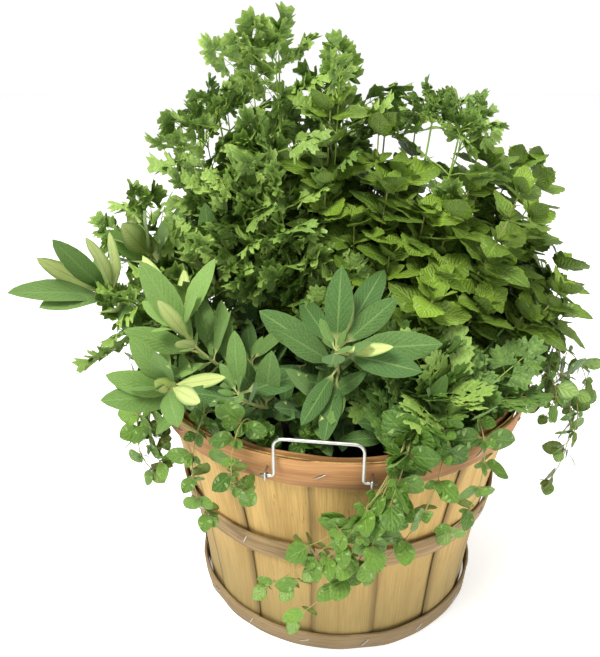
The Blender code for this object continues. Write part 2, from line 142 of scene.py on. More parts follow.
def make_mesh(name, points, quads, triangles=(), uv=None, values=None, sharp=None):
    """One smooth mesh from whole arrays of points and faces, with a UV map and named point
    values, its edges kept sharp where they turn by more than `sharp` degrees."""
    quads = np.asarray(quads, np.int32).reshape(-1, 4)
    triangles = np.asarray(triangles, np.int32).reshape(-1, 3)
    corners = np.concatenate([quads.ravel(), triangles.ravel()])
    starts = np.concatenate([np.arange(len(quads)) * 4,
                             len(quads) * 4 + np.arange(len(triangles)) * 3])
    mesh = bpy.data.meshes.new(name)
    mesh.vertices.add(len(points))
    mesh.vertices.foreach_set("co", np.asarray(points, np.float32).ravel())
    mesh.loops.add(len(corners))
    mesh.loops.foreach_set("vertex_index", corners.astype(np.int32))
    mesh.polygons.add(len(starts))
    mesh.polygons.foreach_set("loop_start", starts.astype(np.int32))
    mesh.update(calc_edges=True)
    mesh.validate()
    if uv is not None:
        layer = mesh.uv_layers.new(name="surface")
        layer.data.foreach_set("uv", np.asarray(uv, np.float32)[corners].ravel())
    for key, value in (values or {}).items():
        attribute = mesh.attributes.new(key, "FLOAT", "POINT")
        attribute.data.foreach_set("value", np.asarray(value, np.float32))
    mesh.shade_smooth()
    if sharp is not None:
        mesh.set_sharp_from_angle(angle=math.radians(sharp))
    return mesh


def merge(parts):
    """Several sets of points, faces and point values as one, with what the first one has."""
    start, out = 0, {key: [] for key in parts[0]}
    for part in parts:
        for key in out:
            value = part[key]
            out[key].append(value + start if key in ("quads", "triangles") else value)
        start += len(part["points"])
    return {key: np.concatenate(value) for key, value in out.items()}


def add_piece(mesh, material, replaced=(), body="basket"):
    """A visible piece named like its mesh."""
    piece = bpy.data.objects.new(mesh.name, mesh)
    mesh.materials.append(material)
    bpy.context.scene.collection.objects.link(piece)
    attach(piece, body)
    if replaced:
        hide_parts(*replaced)


def swept_rings(path, first, radii, sides):
    """A round tube with capped ends along a path: at each point a circle square to the path,
    whose spokes are turned round from `first`."""
    second = np.cross(unit(np.gradient(path, axis=0)), first)
    turn = np.linspace(0, 2 * math.pi, sides, endpoint=False)
    spokes = (first[:, None] * np.cos(turn)[None, :, None]
              + second[:, None] * np.sin(turn)[None, :, None])
    points = (path[:, None] + spokes * radii[:, None, None]).reshape(-1, 3)
    count = len(points)
    around = np.arange(sides)
    after = (around + 1) % sides
    last = count - sides
    caps = np.vstack([np.stack([after, around, np.full(sides, count)], -1),
                      np.stack([last + around, last + after, np.full(sides, count + 1)], -1)])
    return {"points": np.vstack([points, path[[0, -1]]]),
            "quads": grid_faces(len(path), sides, closed_columns=True), "triangles": caps}


def tube(path, radii, sides):
    """A tube that bends in one plane: each first spoke is the path's direction crossed with
    one fixed direction across the whole path."""
    path = np.asarray(path, float)
    radii = np.broadcast_to(np.asarray(radii, float), len(path))
    chord = path[-1] - path[0]
    across = np.cross(chord, path[len(path) // 2] - (path[0] + path[-1]) / 2)
    if np.linalg.norm(across) < 1e-6 * max(np.linalg.norm(chord), 1e-6):
        across = np.cross(chord, [0.31, 0.52, 0.13])
    first = unit(np.cross(unit(np.gradient(path, axis=0)), unit(across)))
    return swept_rings(path, first, radii, sides)


def bent_tube(path, radius, sides):
    """A tube that bends in more than one plane: its spokes are carried along the path so that
    they don't twist."""
    path = path[np.concatenate([[True], np.linalg.norm(np.diff(path, axis=0), axis=1) > 1e-6])]
    heading = unit(np.gradient(path, axis=0))
    spoke = np.cross(heading[0], [0.3, 0.5, 0.81])
    first = []
    for direction in heading:
        spoke = unit(spoke - direction * np.dot(spoke, direction))
        first.append(spoke)
    return swept_rings(path, np.array(first), np.full(len(path), radius), sides)


# ---------------------------------------------------------------- shader graphs


def set_input(tree, socket, value):
    """Links a socket to another, or gives it a plain value."""
    if isinstance(value, bpy.types.NodeSocket):
        tree.links.new(value, socket)
    else:
        socket.default_value = value


def add_node(tree, kind, inputs=None, **settings):
    """A shader node with its settings and its inputs."""
    node = tree.nodes.new(kind)
    for key, value in settings.items():
        setattr(node, key, value)
    for key, value in (inputs or {}).items():
        set_input(tree, node.inputs[key], value)
    return node


def math_node(tree, operation, first, second=0.0, clamp=False):
    return add_node(tree, "ShaderNodeMath", {0: first, 1: second}, operation=operation,
                    use_clamp=clamp).outputs[0]


def plus(tree, first, second, clamp=False):
    return math_node(tree, "ADD", first, second, clamp)


def minus(tree, first, second):
    return math_node(tree, "SUBTRACT", first, second)


def times(tree, first, second):
    return math_node(tree, "MULTIPLY", first, second)


def mix_colour(tree, factor, first, second, blend="MIX"):
    node = add_node(tree, "ShaderNodeMix", {"Factor": factor}, data_type="RGBA", blend_type=blend)
    for socket, value in ((node.inputs[6], first), (node.inputs[7], second)):
        plain = not isinstance(value, bpy.types.NodeSocket)
        set_input(tree, socket, (*value, 1.0) if plain else value)
    return node.outputs[2]


def ramp(tree, factor, low, high):
    """A smooth step from 0 at low to 1 at high."""
    return add_node(tree, "ShaderNodeMapRange",
                    {"Value": factor, "From Min": low, "From Max": high},
                    interpolation_type="SMOOTHSTEP").outputs[0]


def fade_out(tree, factor, low, high):
    """A smooth step from 1 at low to 0 at high."""
    return minus(tree, 1.0, ramp(tree, factor, low, high))


def noise(tree, vector, scale, detail=3.0, distortion=0.0, roughness=0.5):
    return add_node(tree, "ShaderNodeTexNoise",
                    {"Vector": vector, "Scale": scale, "Detail": detail,
                     "Distortion": distortion, "Roughness": roughness}).outputs["Fac"]


def object_place(tree):
    return add_node(tree, "ShaderNodeTexCoord").outputs["Object"]


def surface_map(tree):
    return add_node(tree, "ShaderNodeUVMap", uv_map="surface").outputs[0]


def split(tree, vector):
    return add_node(tree, "ShaderNodeSeparateXYZ", {0: vector}).outputs


def value_of(tree, name):
    return add_node(tree, "ShaderNodeAttribute", attribute_name=name).outputs["Fac"]


def new_group(name, inputs, outputs):
    """A shader node group with named float and vector inputs and float outputs."""
    group = bpy.data.node_groups.new(name, "ShaderNodeTree")
    for label, kind in inputs.items():
        group.interface.new_socket(label, in_out="INPUT", socket_type="NodeSocket" + kind)
    for label in outputs:
        group.interface.new_socket(label, in_out="OUTPUT", socket_type="NodeSocketFloat")
    return group, group.nodes.new("NodeGroupInput").outputs, group.nodes.new("NodeGroupOutput")


def use_group(tree, group, inputs):
    return add_node(tree, "ShaderNodeGroup", inputs, node_tree=group).outputs


def new_material(name, **plain):
    """A material whose Principled shader has the given plain socket values."""
    material = bpy.data.materials.new(name)
    material.use_nodes = True
    shader = material.node_tree.nodes["Principled BSDF"]
    for key, value in plain.items():
        shader.inputs[key.replace("_", " ")].default_value = value
    return material, material.node_tree, shader


def set_surface(tree, shader, colour, roughness, height=None, strength=0.0, distance=0.0):
    """Links a shader's colour and roughness, and a bump where a height is given."""
    set_input(tree, shader.inputs["Base Color"], colour)
    set_input(tree, shader.inputs["Roughness"], roughness)
    if height is not None:
        bump = add_node(tree, "ShaderNodeBump",
                        {"Height": height, "Strength": strength, "Distance": distance})
        set_input(tree, shader.inputs["Normal"], bump.outputs[0])


def darker(colour, share):
    return [channel * share for channel in colour]


def leaf_vein_group():
    """Leaf veins from the leaf's own map: a midrib where `Across` is 0, side veins that sweep
    forward from it, and a fine mottle between them."""
    group, sockets, out = new_group(
        "leaf_veins",
        {"Across": "Float", "Along": "Float", "Position": "Vector", "Pairs": "Float",
         "Sweep": "Float", "Grain": "Float"},
        ("Veins", "Height", "Mottle"))
    away = math_node(group, "ABSOLUTE", sockets["Across"])
    midrib = fade_out(group, away, 0.03, 0.11)
    swept = minus(group, sockets["Along"], times(group, away, sockets["Sweep"]))
    phase = times(group, swept, times(group, sockets["Pairs"], math.pi))
    wave = math_node(group, "ABSOLUTE", math_node(group, "SINE", phase))
    edge_fade = fade_out(group, away, 0.70, 1.0)
    side = times(group, fade_out(group, wave, 0.04, 0.34), edge_fade)
    veins = math_node(group, "MAXIMUM", midrib, times(group, side, 0.62))
    mottle = noise(group, sockets["Position"], sockets["Grain"], detail=4.0)
    pillow = times(group, wave, times(group, edge_fade, 0.55))
    height = minus(group, plus(group, pillow, times(group, mottle, 0.45)),
                   times(group, veins, 0.5))
    for label, value in (("Veins", veins), ("Height", height), ("Mottle", mottle)):
        set_input(group, out.inputs[label], value)
    return group


def wood_grain_group():
    """Veneer grain along V: long stretched noise for fibres, a broad figure and dark flecks,
    moved along by each plank's own number."""
    group, sockets, out = new_group(
        "wood_grain", {"Surface": "Vector", "Plank": "Float"}, ("Fibre", "Figure", "Fleck"))
    plank = sockets["Plank"]
    shift = add_node(group, "ShaderNodeCombineXYZ",
                     {"X": times(group, plank, 3.7), "Y": times(group, plank, 1.9),
                      "Z": plank}).outputs[0]
    moved = add_node(group, "ShaderNodeVectorMath", {0: sockets["Surface"], 1: shift},
                     operation="ADD").outputs[0]

    def stretched(x, y, **settings):
        vector = add_node(group, "ShaderNodeVectorMath", {0: moved, 1: (x, y, 1.0)},
                          operation="MULTIPLY").outputs[0]
        return noise(group, vector, 1.0, **settings)

    fibre = stretched(900, 22, detail=4.0, roughness=0.65)
    figure = stretched(70, 6, distortion=1.2)
    spots = stretched(260, 60, detail=2.0)
    fleck = ramp(group, spots, 0.66, 0.74)
    for label, value in (("Fibre", fibre), ("Figure", figure), ("Fleck", fleck)):
        set_input(group, out.inputs[label], value)
    return group


LEAF_VEINS = leaf_vein_group()
WOOD_GRAIN = wood_grain_group()


def leaf_material(name, dark, light, vein, under, stalk, roughness, pairs, sweep, grain,
                  strength, **plain):
    """A leaf's finish: two greens mixed by the leaf's own tone and a mottle, paler veins, a
    pale underside and a stalk colour. `pairs`, `sweep` and `grain` shape the veins."""
    material, tree, shader = new_material(name, **plain)
    uv = split(tree, surface_map(tree))
    veins = use_group(tree, LEAF_VEINS, {
        "Across": uv["X"], "Along": uv["Y"], "Position": object_place(tree), "Pairs": pairs,
        "Sweep": sweep, "Grain": grain})
    mottled = times(tree, minus(tree, veins["Mottle"], 0.5), 0.9)
    mixed = plus(tree, value_of(tree, "tone"), mottled, clamp=True)
    face = mix_colour(tree, mixed, dark, light)
    face = mix_colour(tree, times(tree, veins["Veins"], 0.45), face, vein)
    back = mix_colour(tree, times(tree, veins["Veins"], 0.4), under, vein)
    face = mix_colour(tree, ramp(tree, value_of(tree, "under"), 0.45, 0.75), face, back)
    stem = mix_colour(tree, mixed, darker(stalk, 0.7), stalk)
    face = mix_colour(tree, value_of(tree, "stalk"), face, stem)
    rough = plus(tree, roughness - 0.08, times(tree, veins["Mottle"], 0.16))
    set_surface(tree, shader, face, rough, veins["Height"], strength, 0.0012)
    return material


def wood_material(name, pale, deep, lower_tint, lower_tint_full, lower_tint_gone, mapped=True):
    """Weathered veneer: fibres and figure between two tans, dark flecks, each plank a little
    lighter or darker, and a darker colour towards the bottom that fades out between two heights."""
    material, tree, shader = new_material(name, Specular_IOR_Level=0.3)
    plank = value_of(tree, "plank")
    surface = surface_map(tree) if mapped else object_place(tree)
    grain = use_group(tree, WOOD_GRAIN, {"Surface": surface, "Plank": plank})
    blend = plus(tree, times(tree, grain["Fibre"], 0.75), times(tree, grain["Figure"], 0.65))
    colour = mix_colour(tree, ramp(tree, blend, 0.45, 0.95), pale, deep)
    colour = mix_colour(tree, times(tree, grain["Fleck"], 0.35), colour, darker(deep, 0.45))
    own = math_node(tree, "FRACT", times(tree, plank, 7.31))
    lift = plus(tree, times(tree, own, 0.42), 0.78)
    grey = add_node(tree, "ShaderNodeCombineColor", {0: lift, 1: lift, 2: lift}).outputs[0]
    colour = mix_colour(tree, 1.0, colour, grey, blend="MULTIPLY")
    # Darker towards the bottom: a darker colour mixed in fully below one height and fading out by
    # another, its edge made ragged by the figure.
    ragged = plus(tree, split(tree, object_place(tree))["Z"],
                  times(tree, minus(tree, grain["Figure"], 0.5), 0.08))
    low = fade_out(tree, ragged, lower_tint_full, lower_tint_gone)
    colour = mix_colour(tree, times(tree, low, 0.62), colour, lower_tint)
    # Painted shade: near-black mixed in along the stave edges, where the gaps between staves fall
    # dark.
    colour = mix_colour(tree, times(tree, value_of(tree, "edge"), 0.75), colour,
                        darker(deep, 0.22))
    rough = plus(tree, 0.58, times(tree, grain["Fibre"], 0.3))
    height = plus(tree, grain["Fibre"], times(tree, grain["Fleck"], -0.8))
    set_surface(tree, shader, colour, rough, height, 0.35, 0.0006)
    return material


def wire_material():
    """Galvanised wire: grey metal with small bright and dull spangles."""
    material, tree, shader = new_material("galvanised_wire", Metallic=1.0)
    spangle = noise(tree, object_place(tree), 900.0, detail=2.0)
    colour = mix_colour(tree, spangle, (0.38, 0.38, 0.35), (0.62, 0.62, 0.59))
    set_surface(tree, shader, colour, plus(tree, 0.22, times(tree, spangle, 0.3)))
    return material


def soil_material():
    """Damp potting soil: near black with brown fibres and a few pale specks."""
    material, tree, shader = new_material("potting_soil", Specular_IOR_Level=0.25)
    position = object_place(tree)
    crumbs = noise(tree, position, 260.0, detail=6.0, roughness=0.7)
    colour = mix_colour(tree, ramp(tree, crumbs, 0.35, 0.70), (0.007, 0.005, 0.004),
                        (0.050, 0.033, 0.020))
    specks = ramp(tree, noise(tree, position, 420.0, detail=1.0), 0.72, 0.76)
    colour = mix_colour(tree, specks, colour, (0.22, 0.18, 0.12))
    rough = plus(tree, 0.75, times(tree, crumbs, 0.2))
    set_surface(tree, shader, colour, rough, crumbs, 0.8, 0.003)
    return material


STAVE_WOOD = wood_material("stave_veneer", (0.64, 0.425, 0.145), (0.39, 0.245, 0.075),
                           (0.16, 0.140, 0.055), lower_tint_full=0.0, lower_tint_gone=0.19)
HOOP_WOOD = wood_material("hoop_band", (0.40, 0.275, 0.130), (0.20, 0.130, 0.056),
                          (0.17, 0.135, 0.080), lower_tint_full=0.0, lower_tint_gone=0.05)
RIM_WOOD = wood_material("rim_band", (0.56, 0.300, 0.120), (0.34, 0.160, 0.058),
                         (0.24, 0.12, 0.05), lower_tint_full=0.20, lower_tint_gone=0.215)
BOARD_WOOD = wood_material("board_wood", (0.60, 0.42, 0.20), (0.42, 0.27, 0.11),
                           (0.26, 0.17, 0.08), lower_tint_full=0.0, lower_tint_gone=0.02, mapped=False)
WIRE = wire_material()
SOIL = soil_material()
MATERIALS = {
    "sage": leaf_material(
        "sage_leaf", dark=(0.050, 0.120, 0.026), light=(0.215, 0.36, 0.085),
        vein=(0.21, 0.34, 0.10), under=(0.54, 0.62, 0.22), stalk=(0.60, 0.66, 0.24),
        roughness=0.66, pairs=13.0, sweep=0.24, grain=900.0, strength=0.30,
        Specular_IOR_Level=0.22, Sheen_Weight=0.12, Sheen_Roughness=0.5),
    "mint": leaf_material(
        "mint_leaf", dark=(0.045, 0.100, 0.010), light=(0.26, 0.41, 0.038),
        vein=(0.28, 0.44, 0.07), under=(0.24, 0.35, 0.09), stalk=(0.36, 0.40, 0.11),
        roughness=0.50, pairs=8.0, sweep=0.42, grain=500.0, strength=0.80,
        Specular_IOR_Level=0.32),
    "parsley": leaf_material(
        "parsley_leaf", dark=(0.085, 0.170, 0.036), light=(0.32, 0.47, 0.100),
        vein=(0.18, 0.32, 0.05), under=(0.17, 0.28, 0.07), stalk=(0.30, 0.46, 0.07),
        roughness=0.48, pairs=3.0, sweep=0.5, grain=500.0, strength=0.5,
        Specular_IOR_Level=0.32),
    "oregano": leaf_material(
        "oregano_leaf", dark=(0.040, 0.105, 0.012), light=(0.185, 0.34, 0.040),
        vein=(0.17, 0.31, 0.045), under=(0.24, 0.36, 0.10), stalk=(0.34, 0.33, 0.10),
        roughness=0.48, pairs=4.0, sweep=0.5, grain=500.0, strength=0.6,
        Specular_IOR_Level=0.32),
}

# ---------------------------------------------------------------- the basket


def stave_piece(index):
    """A lapped stave: a plate bent to the basket's side, its thickness carried between two
    grids, its face crowned across, its edges running a little unevenly up its length. Every
    other stave lies over its neighbours."""
    rng = np.random.default_rng(100 + index)
    raised = index % 2 == 0
    rows, columns = 14, 9
    z = np.linspace(0.0, HEIGHT - 0.001, rows)
    across = np.linspace(-1, 1, columns)
    half = math.pi / STAVE_COUNT + (STAVE_LAP * 0.2 if raised else STAVE_LAP)
    wander = 0.010 * np.sin(z[:, None] * 26 + rng.uniform(0, 6)) * np.abs(across)[None, :]
    turn = 2 * math.pi * index / STAVE_COUNT + across[None, :] * (half + wander * 0.6)
    levels = np.broadcast_to(z[:, None], turn.shape)
    outer = outer_face(z)[:, None] - (0.0 if raised else VENEER + VENEER_GAP)
    crown = -0.0005 * across[None, :] ** 2 + 0.0002 * np.sin(z[:, None] * 45 + index)
    edge = np.where(np.abs(across) > 0.99, 0.0005, 0.0)[None, :]
    front = outer + np.minimum(crown, 0.0) - edge
    back = outer - VENEER + edge
    points = np.vstack([around_axis(radius, turn, levels).reshape(-1, 3)
                        for radius in (front, back)])
    count = rows * columns
    faces = grid_faces(rows, columns)
    border = np.concatenate([np.arange(columns), columns - 1 + columns * np.arange(1, rows),
                             count - 2 - np.arange(columns - 1),
                             columns * np.arange(rows - 2, 0, -1)])
    after = np.roll(border, -1)
    rim = np.stack([border, border + count, after + count, after], -1)
    quads = np.vstack([faces, faces[:, ::-1] + count, rim])
    mean_radius = 0.165
    arc = np.broadcast_to(across[None, :] * half * mean_radius, turn.shape)
    uv = np.stack([arc, levels], -1).reshape(-1, 2)
    # Painted shade along each stave's side edges, standing in for the dark gaps between staves;
    # weaker on the staves that lie under their neighbours.
    seam_shade = np.tile(np.abs(across) ** 10, rows) * (1.0 if raised else 0.6)
    values = {"plank": np.full(2 * count, index * 1.37 + 0.2), "edge": np.tile(seam_shade, 2)}
    name = f"stave_{index + 1:02d}"
    mesh = make_mesh(name + "_veneer", points, quads, uv=np.vstack([uv, uv]), values=values,
                     sharp=40)
    add_piece(mesh, STAVE_WOOD, (name,))


def band_piece(name, node, bottom, height, face, material, lap_at, tilt=0.0, outward=1,
               plank=0.0):
    """A bent band: a long thin plate wound once round and lapped over its own end, where it
    rises by a share of its thickness. Its edges are eased and its face is a little wavy."""
    thickness = HOOP_THICKNESS + FIT - HOOP_FIT
    lap = math.radians(9)
    lap_rise = 0.0009
    mean_radius = 0.17
    steps = 200
    turn = np.linspace(0.0, 2 * math.pi, steps, endpoint=False)
    profile = np.array([(0.0, 0.08), (0.0, 0.92), (0.35, 1.0), (0.80, 0.985), (1.0, 0.93),
                        (1.0, 0.07), (0.80, 0.015), (0.35, 0.0)])
    ripple = 0.00025 * np.sin(turn * 11 + plank * 5) + 0.0002 * np.sin(turn * 23)
    away = (turn - math.radians(lap_at)) % (2 * math.pi)
    rise = lap_rise * np.clip(1 - away / lap, 0, 1) * (away < lap)
    edge = 0.0006 * np.sin(turn * 7 + plank) + 0.0004 * np.sin(turn * 17 + 2 * plank)
    z = bottom + height * profile[None, :, 1] + edge[:, None]
    z = z - tilt * float(face(bottom + height / 2)) * np.cos(turn)[:, None]
    radius = face(np.clip(z, 0, HEIGHT)) + outward * (
        thickness * profile[None, :, 0] + (ripple + rise)[:, None] * profile[None, :, 0])
    z = np.maximum(z, 0.0)
    points = around_axis(radius, turn[:, None], z).reshape(-1, 3)
    quads = grid_faces(steps, len(profile), closed_columns=True, closed_rows=True)
    if outward < 0:
        quads = quads[:, ::-1]
    arc = np.broadcast_to((away * mean_radius)[:, None], z.shape)
    uv = np.stack([z, arc], -1).reshape(-1, 2)
    values = {"plank": np.full(steps * len(profile), plank)}
    mesh = make_mesh(name, points, quads, uv=uv, values=values, sharp=50)
    add_piece(mesh, material, (node,))


def staple(turn, z, length, lean):
    """A wire staple's crown across a band: a short leaning tube with both ends bent in."""
    share = np.array([-1, -0.98, -0.6, 0.6, 0.98, 1.0])
    out = np.array([-0.0012, 0.0002, 0.0006, 0.0006, 0.0002, -0.0012])
    height = z + share * length / 2 * math.cos(lean)
    radius = hoop_outside(height) + out
    angle = turn + share * length / 2 * math.sin(lean) / radius
    return tube(around_axis(radius, angle, height), 0.00055, 6)


def make_staples():
    """Three rows of staples, each with its angles, height, length, lean and the band's tilt."""
    seams = (np.arange(STAVE_COUNT) + 0.5) * 2 * math.pi / STAVE_COUNT
    rows = {
        "rim_staples": (seams + 0.06, HEIGHT - RIM_BAND / 2, 0.011, 1.2, 0.0),
        "mid_staples": (seams, MID_MIDDLE, 0.010, 0.75, MID_TILT),
        "bottom_staples": (seams - 0.05, 0.009, 0.009, 0.9, 0.0),
    }
    for name, (turns, z, length, lean, tilt) in rows.items():
        parts = [staple(turn, z - tilt * MID_RADIUS * math.cos(turn), length,
                        lean + 0.5 * math.sin(turn * 9)) for turn in turns]
        add_piece(make_mesh(name, **merge(parts)), WIRE)


def make_soil():
    """The soil's dome: a disc of rings whose height is the dome plus lumps from summed sines,
    with a skirt that runs down inside the staves."""
    rings, spokes = 40, 96
    sink = 0.0008
    radius = np.linspace(1 / rings, 1.0, rings)[:, None]
    turn = np.linspace(0, 2 * math.pi, spokes, endpoint=False)
    full = float(inside_face(SOIL_EDGE))
    x, y = radius * full * np.cos(turn), radius * full * np.sin(turn)
    lumps = (np.sin(x * 210 + 2 * np.sin(y * 90)) * np.sin(y * 190 + 1.3)
             + 0.5 * np.sin(x * 520 + y * 340) + 0.4 * np.sin(y * 610 - x * 270))
    z = SOIL_EDGE + SOIL_DOME * (1 - radius**2) + 0.0016 * lumps * (1 - radius**6) - sink
    top = np.stack([x, y, z], -1).reshape(-1, 3)
    skirt = [around_axis(inside_face(level), turn, np.full(spokes, level))
             for level in np.linspace(SOIL_EDGE - 0.004, SOIL_BOTTOM, 5)]
    middles = [[0, 0, SOIL_BOTTOM], [0, 0, SOIL_EDGE + SOIL_DOME - 0.0005]]
    points = np.vstack([top] + skirt + [middles])
    rows = rings + len(skirt)
    quads = grid_faces(rows, spokes, closed_columns=True)[:, ::-1]
    around = np.arange(spokes)
    last = (rows - 1) * spokes
    after = (around + 1) % spokes
    floor = np.stack([last + around, np.full(spokes, len(points) - 2), last + after], -1)
    crown = np.stack([np.full(spokes, len(points) - 1), around, after], -1)
    mesh = make_mesh("soil_bed", points, quads, np.vstack([crown, floor]))
    add_piece(mesh, SOIL, ("soil",))


def arc_path(corners, radius):
    """A path through corners, each inner corner rounded by an arc of the radius."""
    corners = [np.asarray(corner, float) for corner in corners]
    path = [corners[0]]
    for before, corner, after in zip(corners, corners[1:], corners[2:]):
        back, ahead = unit(before - corner), unit(after - corner)
        centre = corner + (back + ahead) * radius
        for turn in np.linspace(0, math.pi / 2, 6):
            path.append(centre - ahead * radius * math.cos(turn) - back * radius * math.sin(turn))
    path.append(corners[-1])
    return np.array(path)


def hinge_frame(side):
    """Columns along the hinge, inwards and up, and the hinge's place."""
    joint = HINGES[f"handle_{side}_swing"]
    along = unit(np.array(joint["axis"], float))
    return np.stack([along, np.cross(UP, along), UP], -1), np.array(joint["pos_m"], float)


def wire_mesh(name, path, radius, side, sides=12):
    """A wire bent along a path given in the hinge's own directions."""
    turn, place = hinge_frame(side)
    return make_mesh(name, **bent_tube(path @ turn.T + place, radius, sides))


def make_handles():
    """The two bails, each a bar on two legs whose feet turn outwards under a keeper."""
    wire, half, reach, foot = 0.0014, 0.035, 0.034, 0.011
    foot_bend, grip_bend = 0.0028, 0.007
    corners = [(-half - foot, 0, 0), (-half, 0, 0), (-half, 0, reach), (half, 0, reach),
               (half, 0, 0), (half + foot, 0, 0)]
    path = np.vstack([arc_path(corners[:3], foot_bend)[:-1],
                      arc_path(corners[1:5], grip_bend)[1:-1],
                      arc_path(corners[3:], foot_bend)[1:]])
    for side in SIDES:
        node = f"handle_{side}"
        add_piece(wire_mesh(f"bail_{side}", path, wire, side), WIRE, (node,), node)
        for end, sign in (("left", -1), ("right", 1)):
            keeper_piece(side, end, sign, half + foot * 0.6, wire)


def keeper_piece(side, end, sign, offset, wire):
    """A staple over a foot of the bail, from just outside the rim hoop and back to it."""
    radius = 0.0009
    bend = 0.0012
    spread = wire + radius + 0.0007
    place = hinge_frame(side)[1]
    face = float(hoop_outside(place[2] + spread + radius))
    depth = math.hypot(place[0], place[1]) - math.sqrt(face**2 - (offset - radius)**2) - 0.0004
    x = sign * offset
    path = arc_path([(x, depth, spread), (x, -spread, spread), (x, -spread, -spread),
                     (x, depth, -spread)], bend)
    name = f"keeper_{side}_{end}"
    add_piece(wire_mesh(name + "_wire", path, radius, side, 8), WIRE, (name,))


for stave_number in range(STAVE_COUNT):
    stave_piece(stave_number)
band_piece("bottom_band", "bottom_hoop", 0.0, 0.018, hoop_face, HOOP_WOOD, 205,
           plank=0.4)
band_piece("mid_band", "mid_hoop", MID_MIDDLE - 0.011, 0.022, hoop_face, HOOP_WOOD,
           30, MID_TILT, plank=1.3)
band_piece("rim_band_outer", "rim_hoop_outer", HEIGHT - RIM_BAND, RIM_BAND, hoop_face, RIM_WOOD,
           60, plank=2.1)
band_piece("rim_band_inner", "rim_hoop_inner", HEIGHT - 0.020, 0.020, inside_face, RIM_WOOD,
           200, outward=-1, plank=3.2)
make_staples()
make_soil()
make_handles()
frame["nodes"]["bottom_board"].data.materials.clear()
frame["nodes"]["bottom_board"].data.materials.append(BOARD_WOOD)

# ---------------------------------------------------------------- leaves and stems

# The four points of the loop that a leaf is swept from: left edge, face, right edge, underside.
LOOP_ACROSS = np.array([-1.0, 0.0, 1.0, 0.0])
LOOP_UNDER = np.array([0.5, 0.0, 0.5, 1.0])
START_CAP = np.array([(3, 2, 1, 0)])
LEAF_THICKNESS = 0.012
TIP_HALF_WIDTH = 0.004
SAGE_HALF_WIDTH = 0.15


def blade(stations, stalk, stalk_width, width, fullness, belly, fold, droop, curl, ripple,
          teeth, twist):
    """One leaf a unit long, along +Y with its face to +Z: a flat loop of four points carried
    along the midrib. Its half width is a sine whose peak is moved by `belly`, its edges rise by
    `fold`, it bends down by a parabola, and teeth widen every other station."""
    share = np.linspace(0.0, 1.0, stations)
    share = 0.55 * share + 0.225 * (1 - np.cos(math.pi * share))
    inner = np.clip((share - stalk) / (1 - stalk), 0, 1)
    half = width * np.sin(math.pi * inner**belly) ** fullness + stalk_width * (1 - inner)
    half = half * (1 + teeth * np.where(np.arange(stations) % 2 == 0, 1, -1) * (inner > 0.02))
    half[-1] = TIP_HALF_WIDTH
    across = LOOP_ACROSS[None, :]
    x = across * half[:, None]
    z = fold * np.abs(x) + curl * (x / width) ** 2 * 0.5 * width
    z = z + ripple * np.sin(share * 12 + 1.7)[:, None] * np.abs(across) * half[:, None] * 4
    z = z - droop * share[:, None] ** 2
    z = z - LEAF_THICKNESS * LOOP_UNDER[None, :] * (half[:, None] > 0.005)
    turn = twist * share[:, None]
    x, z = x * np.cos(turn) - 0.35 * z * np.sin(turn), z + x * np.sin(turn)
    y = np.broadcast_to(share[:, None] - 0.25 * droop * share[:, None] ** 3, x.shape)
    points = np.stack([x, y, z], -1).reshape(-1, 3)
    last = (stations - 1) * len(LOOP_ACROSS)
    quads = np.vstack([grid_faces(stations, len(LOOP_ACROSS), closed_columns=True), START_CAP,
                       START_CAP[:, ::-1] + last])
    uv = np.stack([np.broadcast_to(across, x.shape), np.broadcast_to(share[:, None], x.shape)],
                  -1).reshape(-1, 2)
    under = np.broadcast_to(LOOP_UNDER[None, :], x.shape).ravel()
    stalked = np.broadcast_to((share < stalk * 0.8)[:, None], x.shape).ravel().astype(float)
    face_tip = points[last + 1]
    return {"points": points, "quads": quads, "triangles": np.zeros((0, 3), int), "uv": uv,
            "under": under, "stalk": stalked, "tip": face_tip}


# How far a parsley leaflet's outline reaches, from one side of its fan to the middle and back.
HALF_REACH = (0.64, 0.80, 0.82, 0.62, 0.88, 0.90, 0.58, 0.90, 0.97, 0.80)
LEAFLET_REACH = np.array([*HALF_REACH, 1.0, *HALF_REACH[::-1]])
FAN_HALF_ANGLE = 1.75


def leaflet(cup, curl, phase):
    """A parsley leaflet about its stalk's end: three lobes of three teeth, as a fan from one
    point to an outline whose reach rises and falls, cupped and waved round the fan."""
    spokes = len(LEAFLET_REACH)
    turn = np.linspace(-FAN_HALF_ANGLE, FAN_HALF_ANGLE, spokes)
    reach = LEAFLET_REACH * (0.80 + 0.20 * np.cos(turn))
    z = cup * reach**2 + curl * np.sin(3.2 * turn + phase) * reach**1.4
    z = z + 0.06 * curl * np.where(np.arange(spokes) % 2 == 0, 1, -1)
    outline = np.stack([reach * np.sin(turn), reach * np.cos(turn) + 0.10, z], -1)
    points = np.vstack([outline, [(0.0, 0.08, 0.0), (0.0, 0.08, -0.022)]])
    top, low = spokes, spokes + 1
    near = np.arange(spokes - 1)
    tops, lows = np.full(spokes - 1, top), np.full(spokes - 1, low)
    triangles = np.vstack([np.stack([tops, near + 1, near], -1),
                           np.stack([lows, near, near + 1], -1),
                           [(top, 0, low), (spokes - 1, top, low)]])
    uv = np.vstack([np.stack([turn / FAN_HALF_ANGLE, np.ones(spokes)], -1), [(0, 0), (0, 0)]])
    under = np.concatenate([np.full(spokes, 0.4), [0.0, 1.0]])
    return {"points": points, "quads": np.zeros((0, 4), int), "triangles": triangles, "uv": uv,
            "under": under, "stalk": np.zeros(len(points))}


def stalk_part(path, radii, sides):
    """A piece of stem, with the point values that leaves have."""
    part = tube(path, radii, sides)
    count = len(part["points"])
    return dict(part, uv=np.tile([0.0, 0.5], (count, 1)), under=np.zeros(count),
                stalk=np.ones(count))


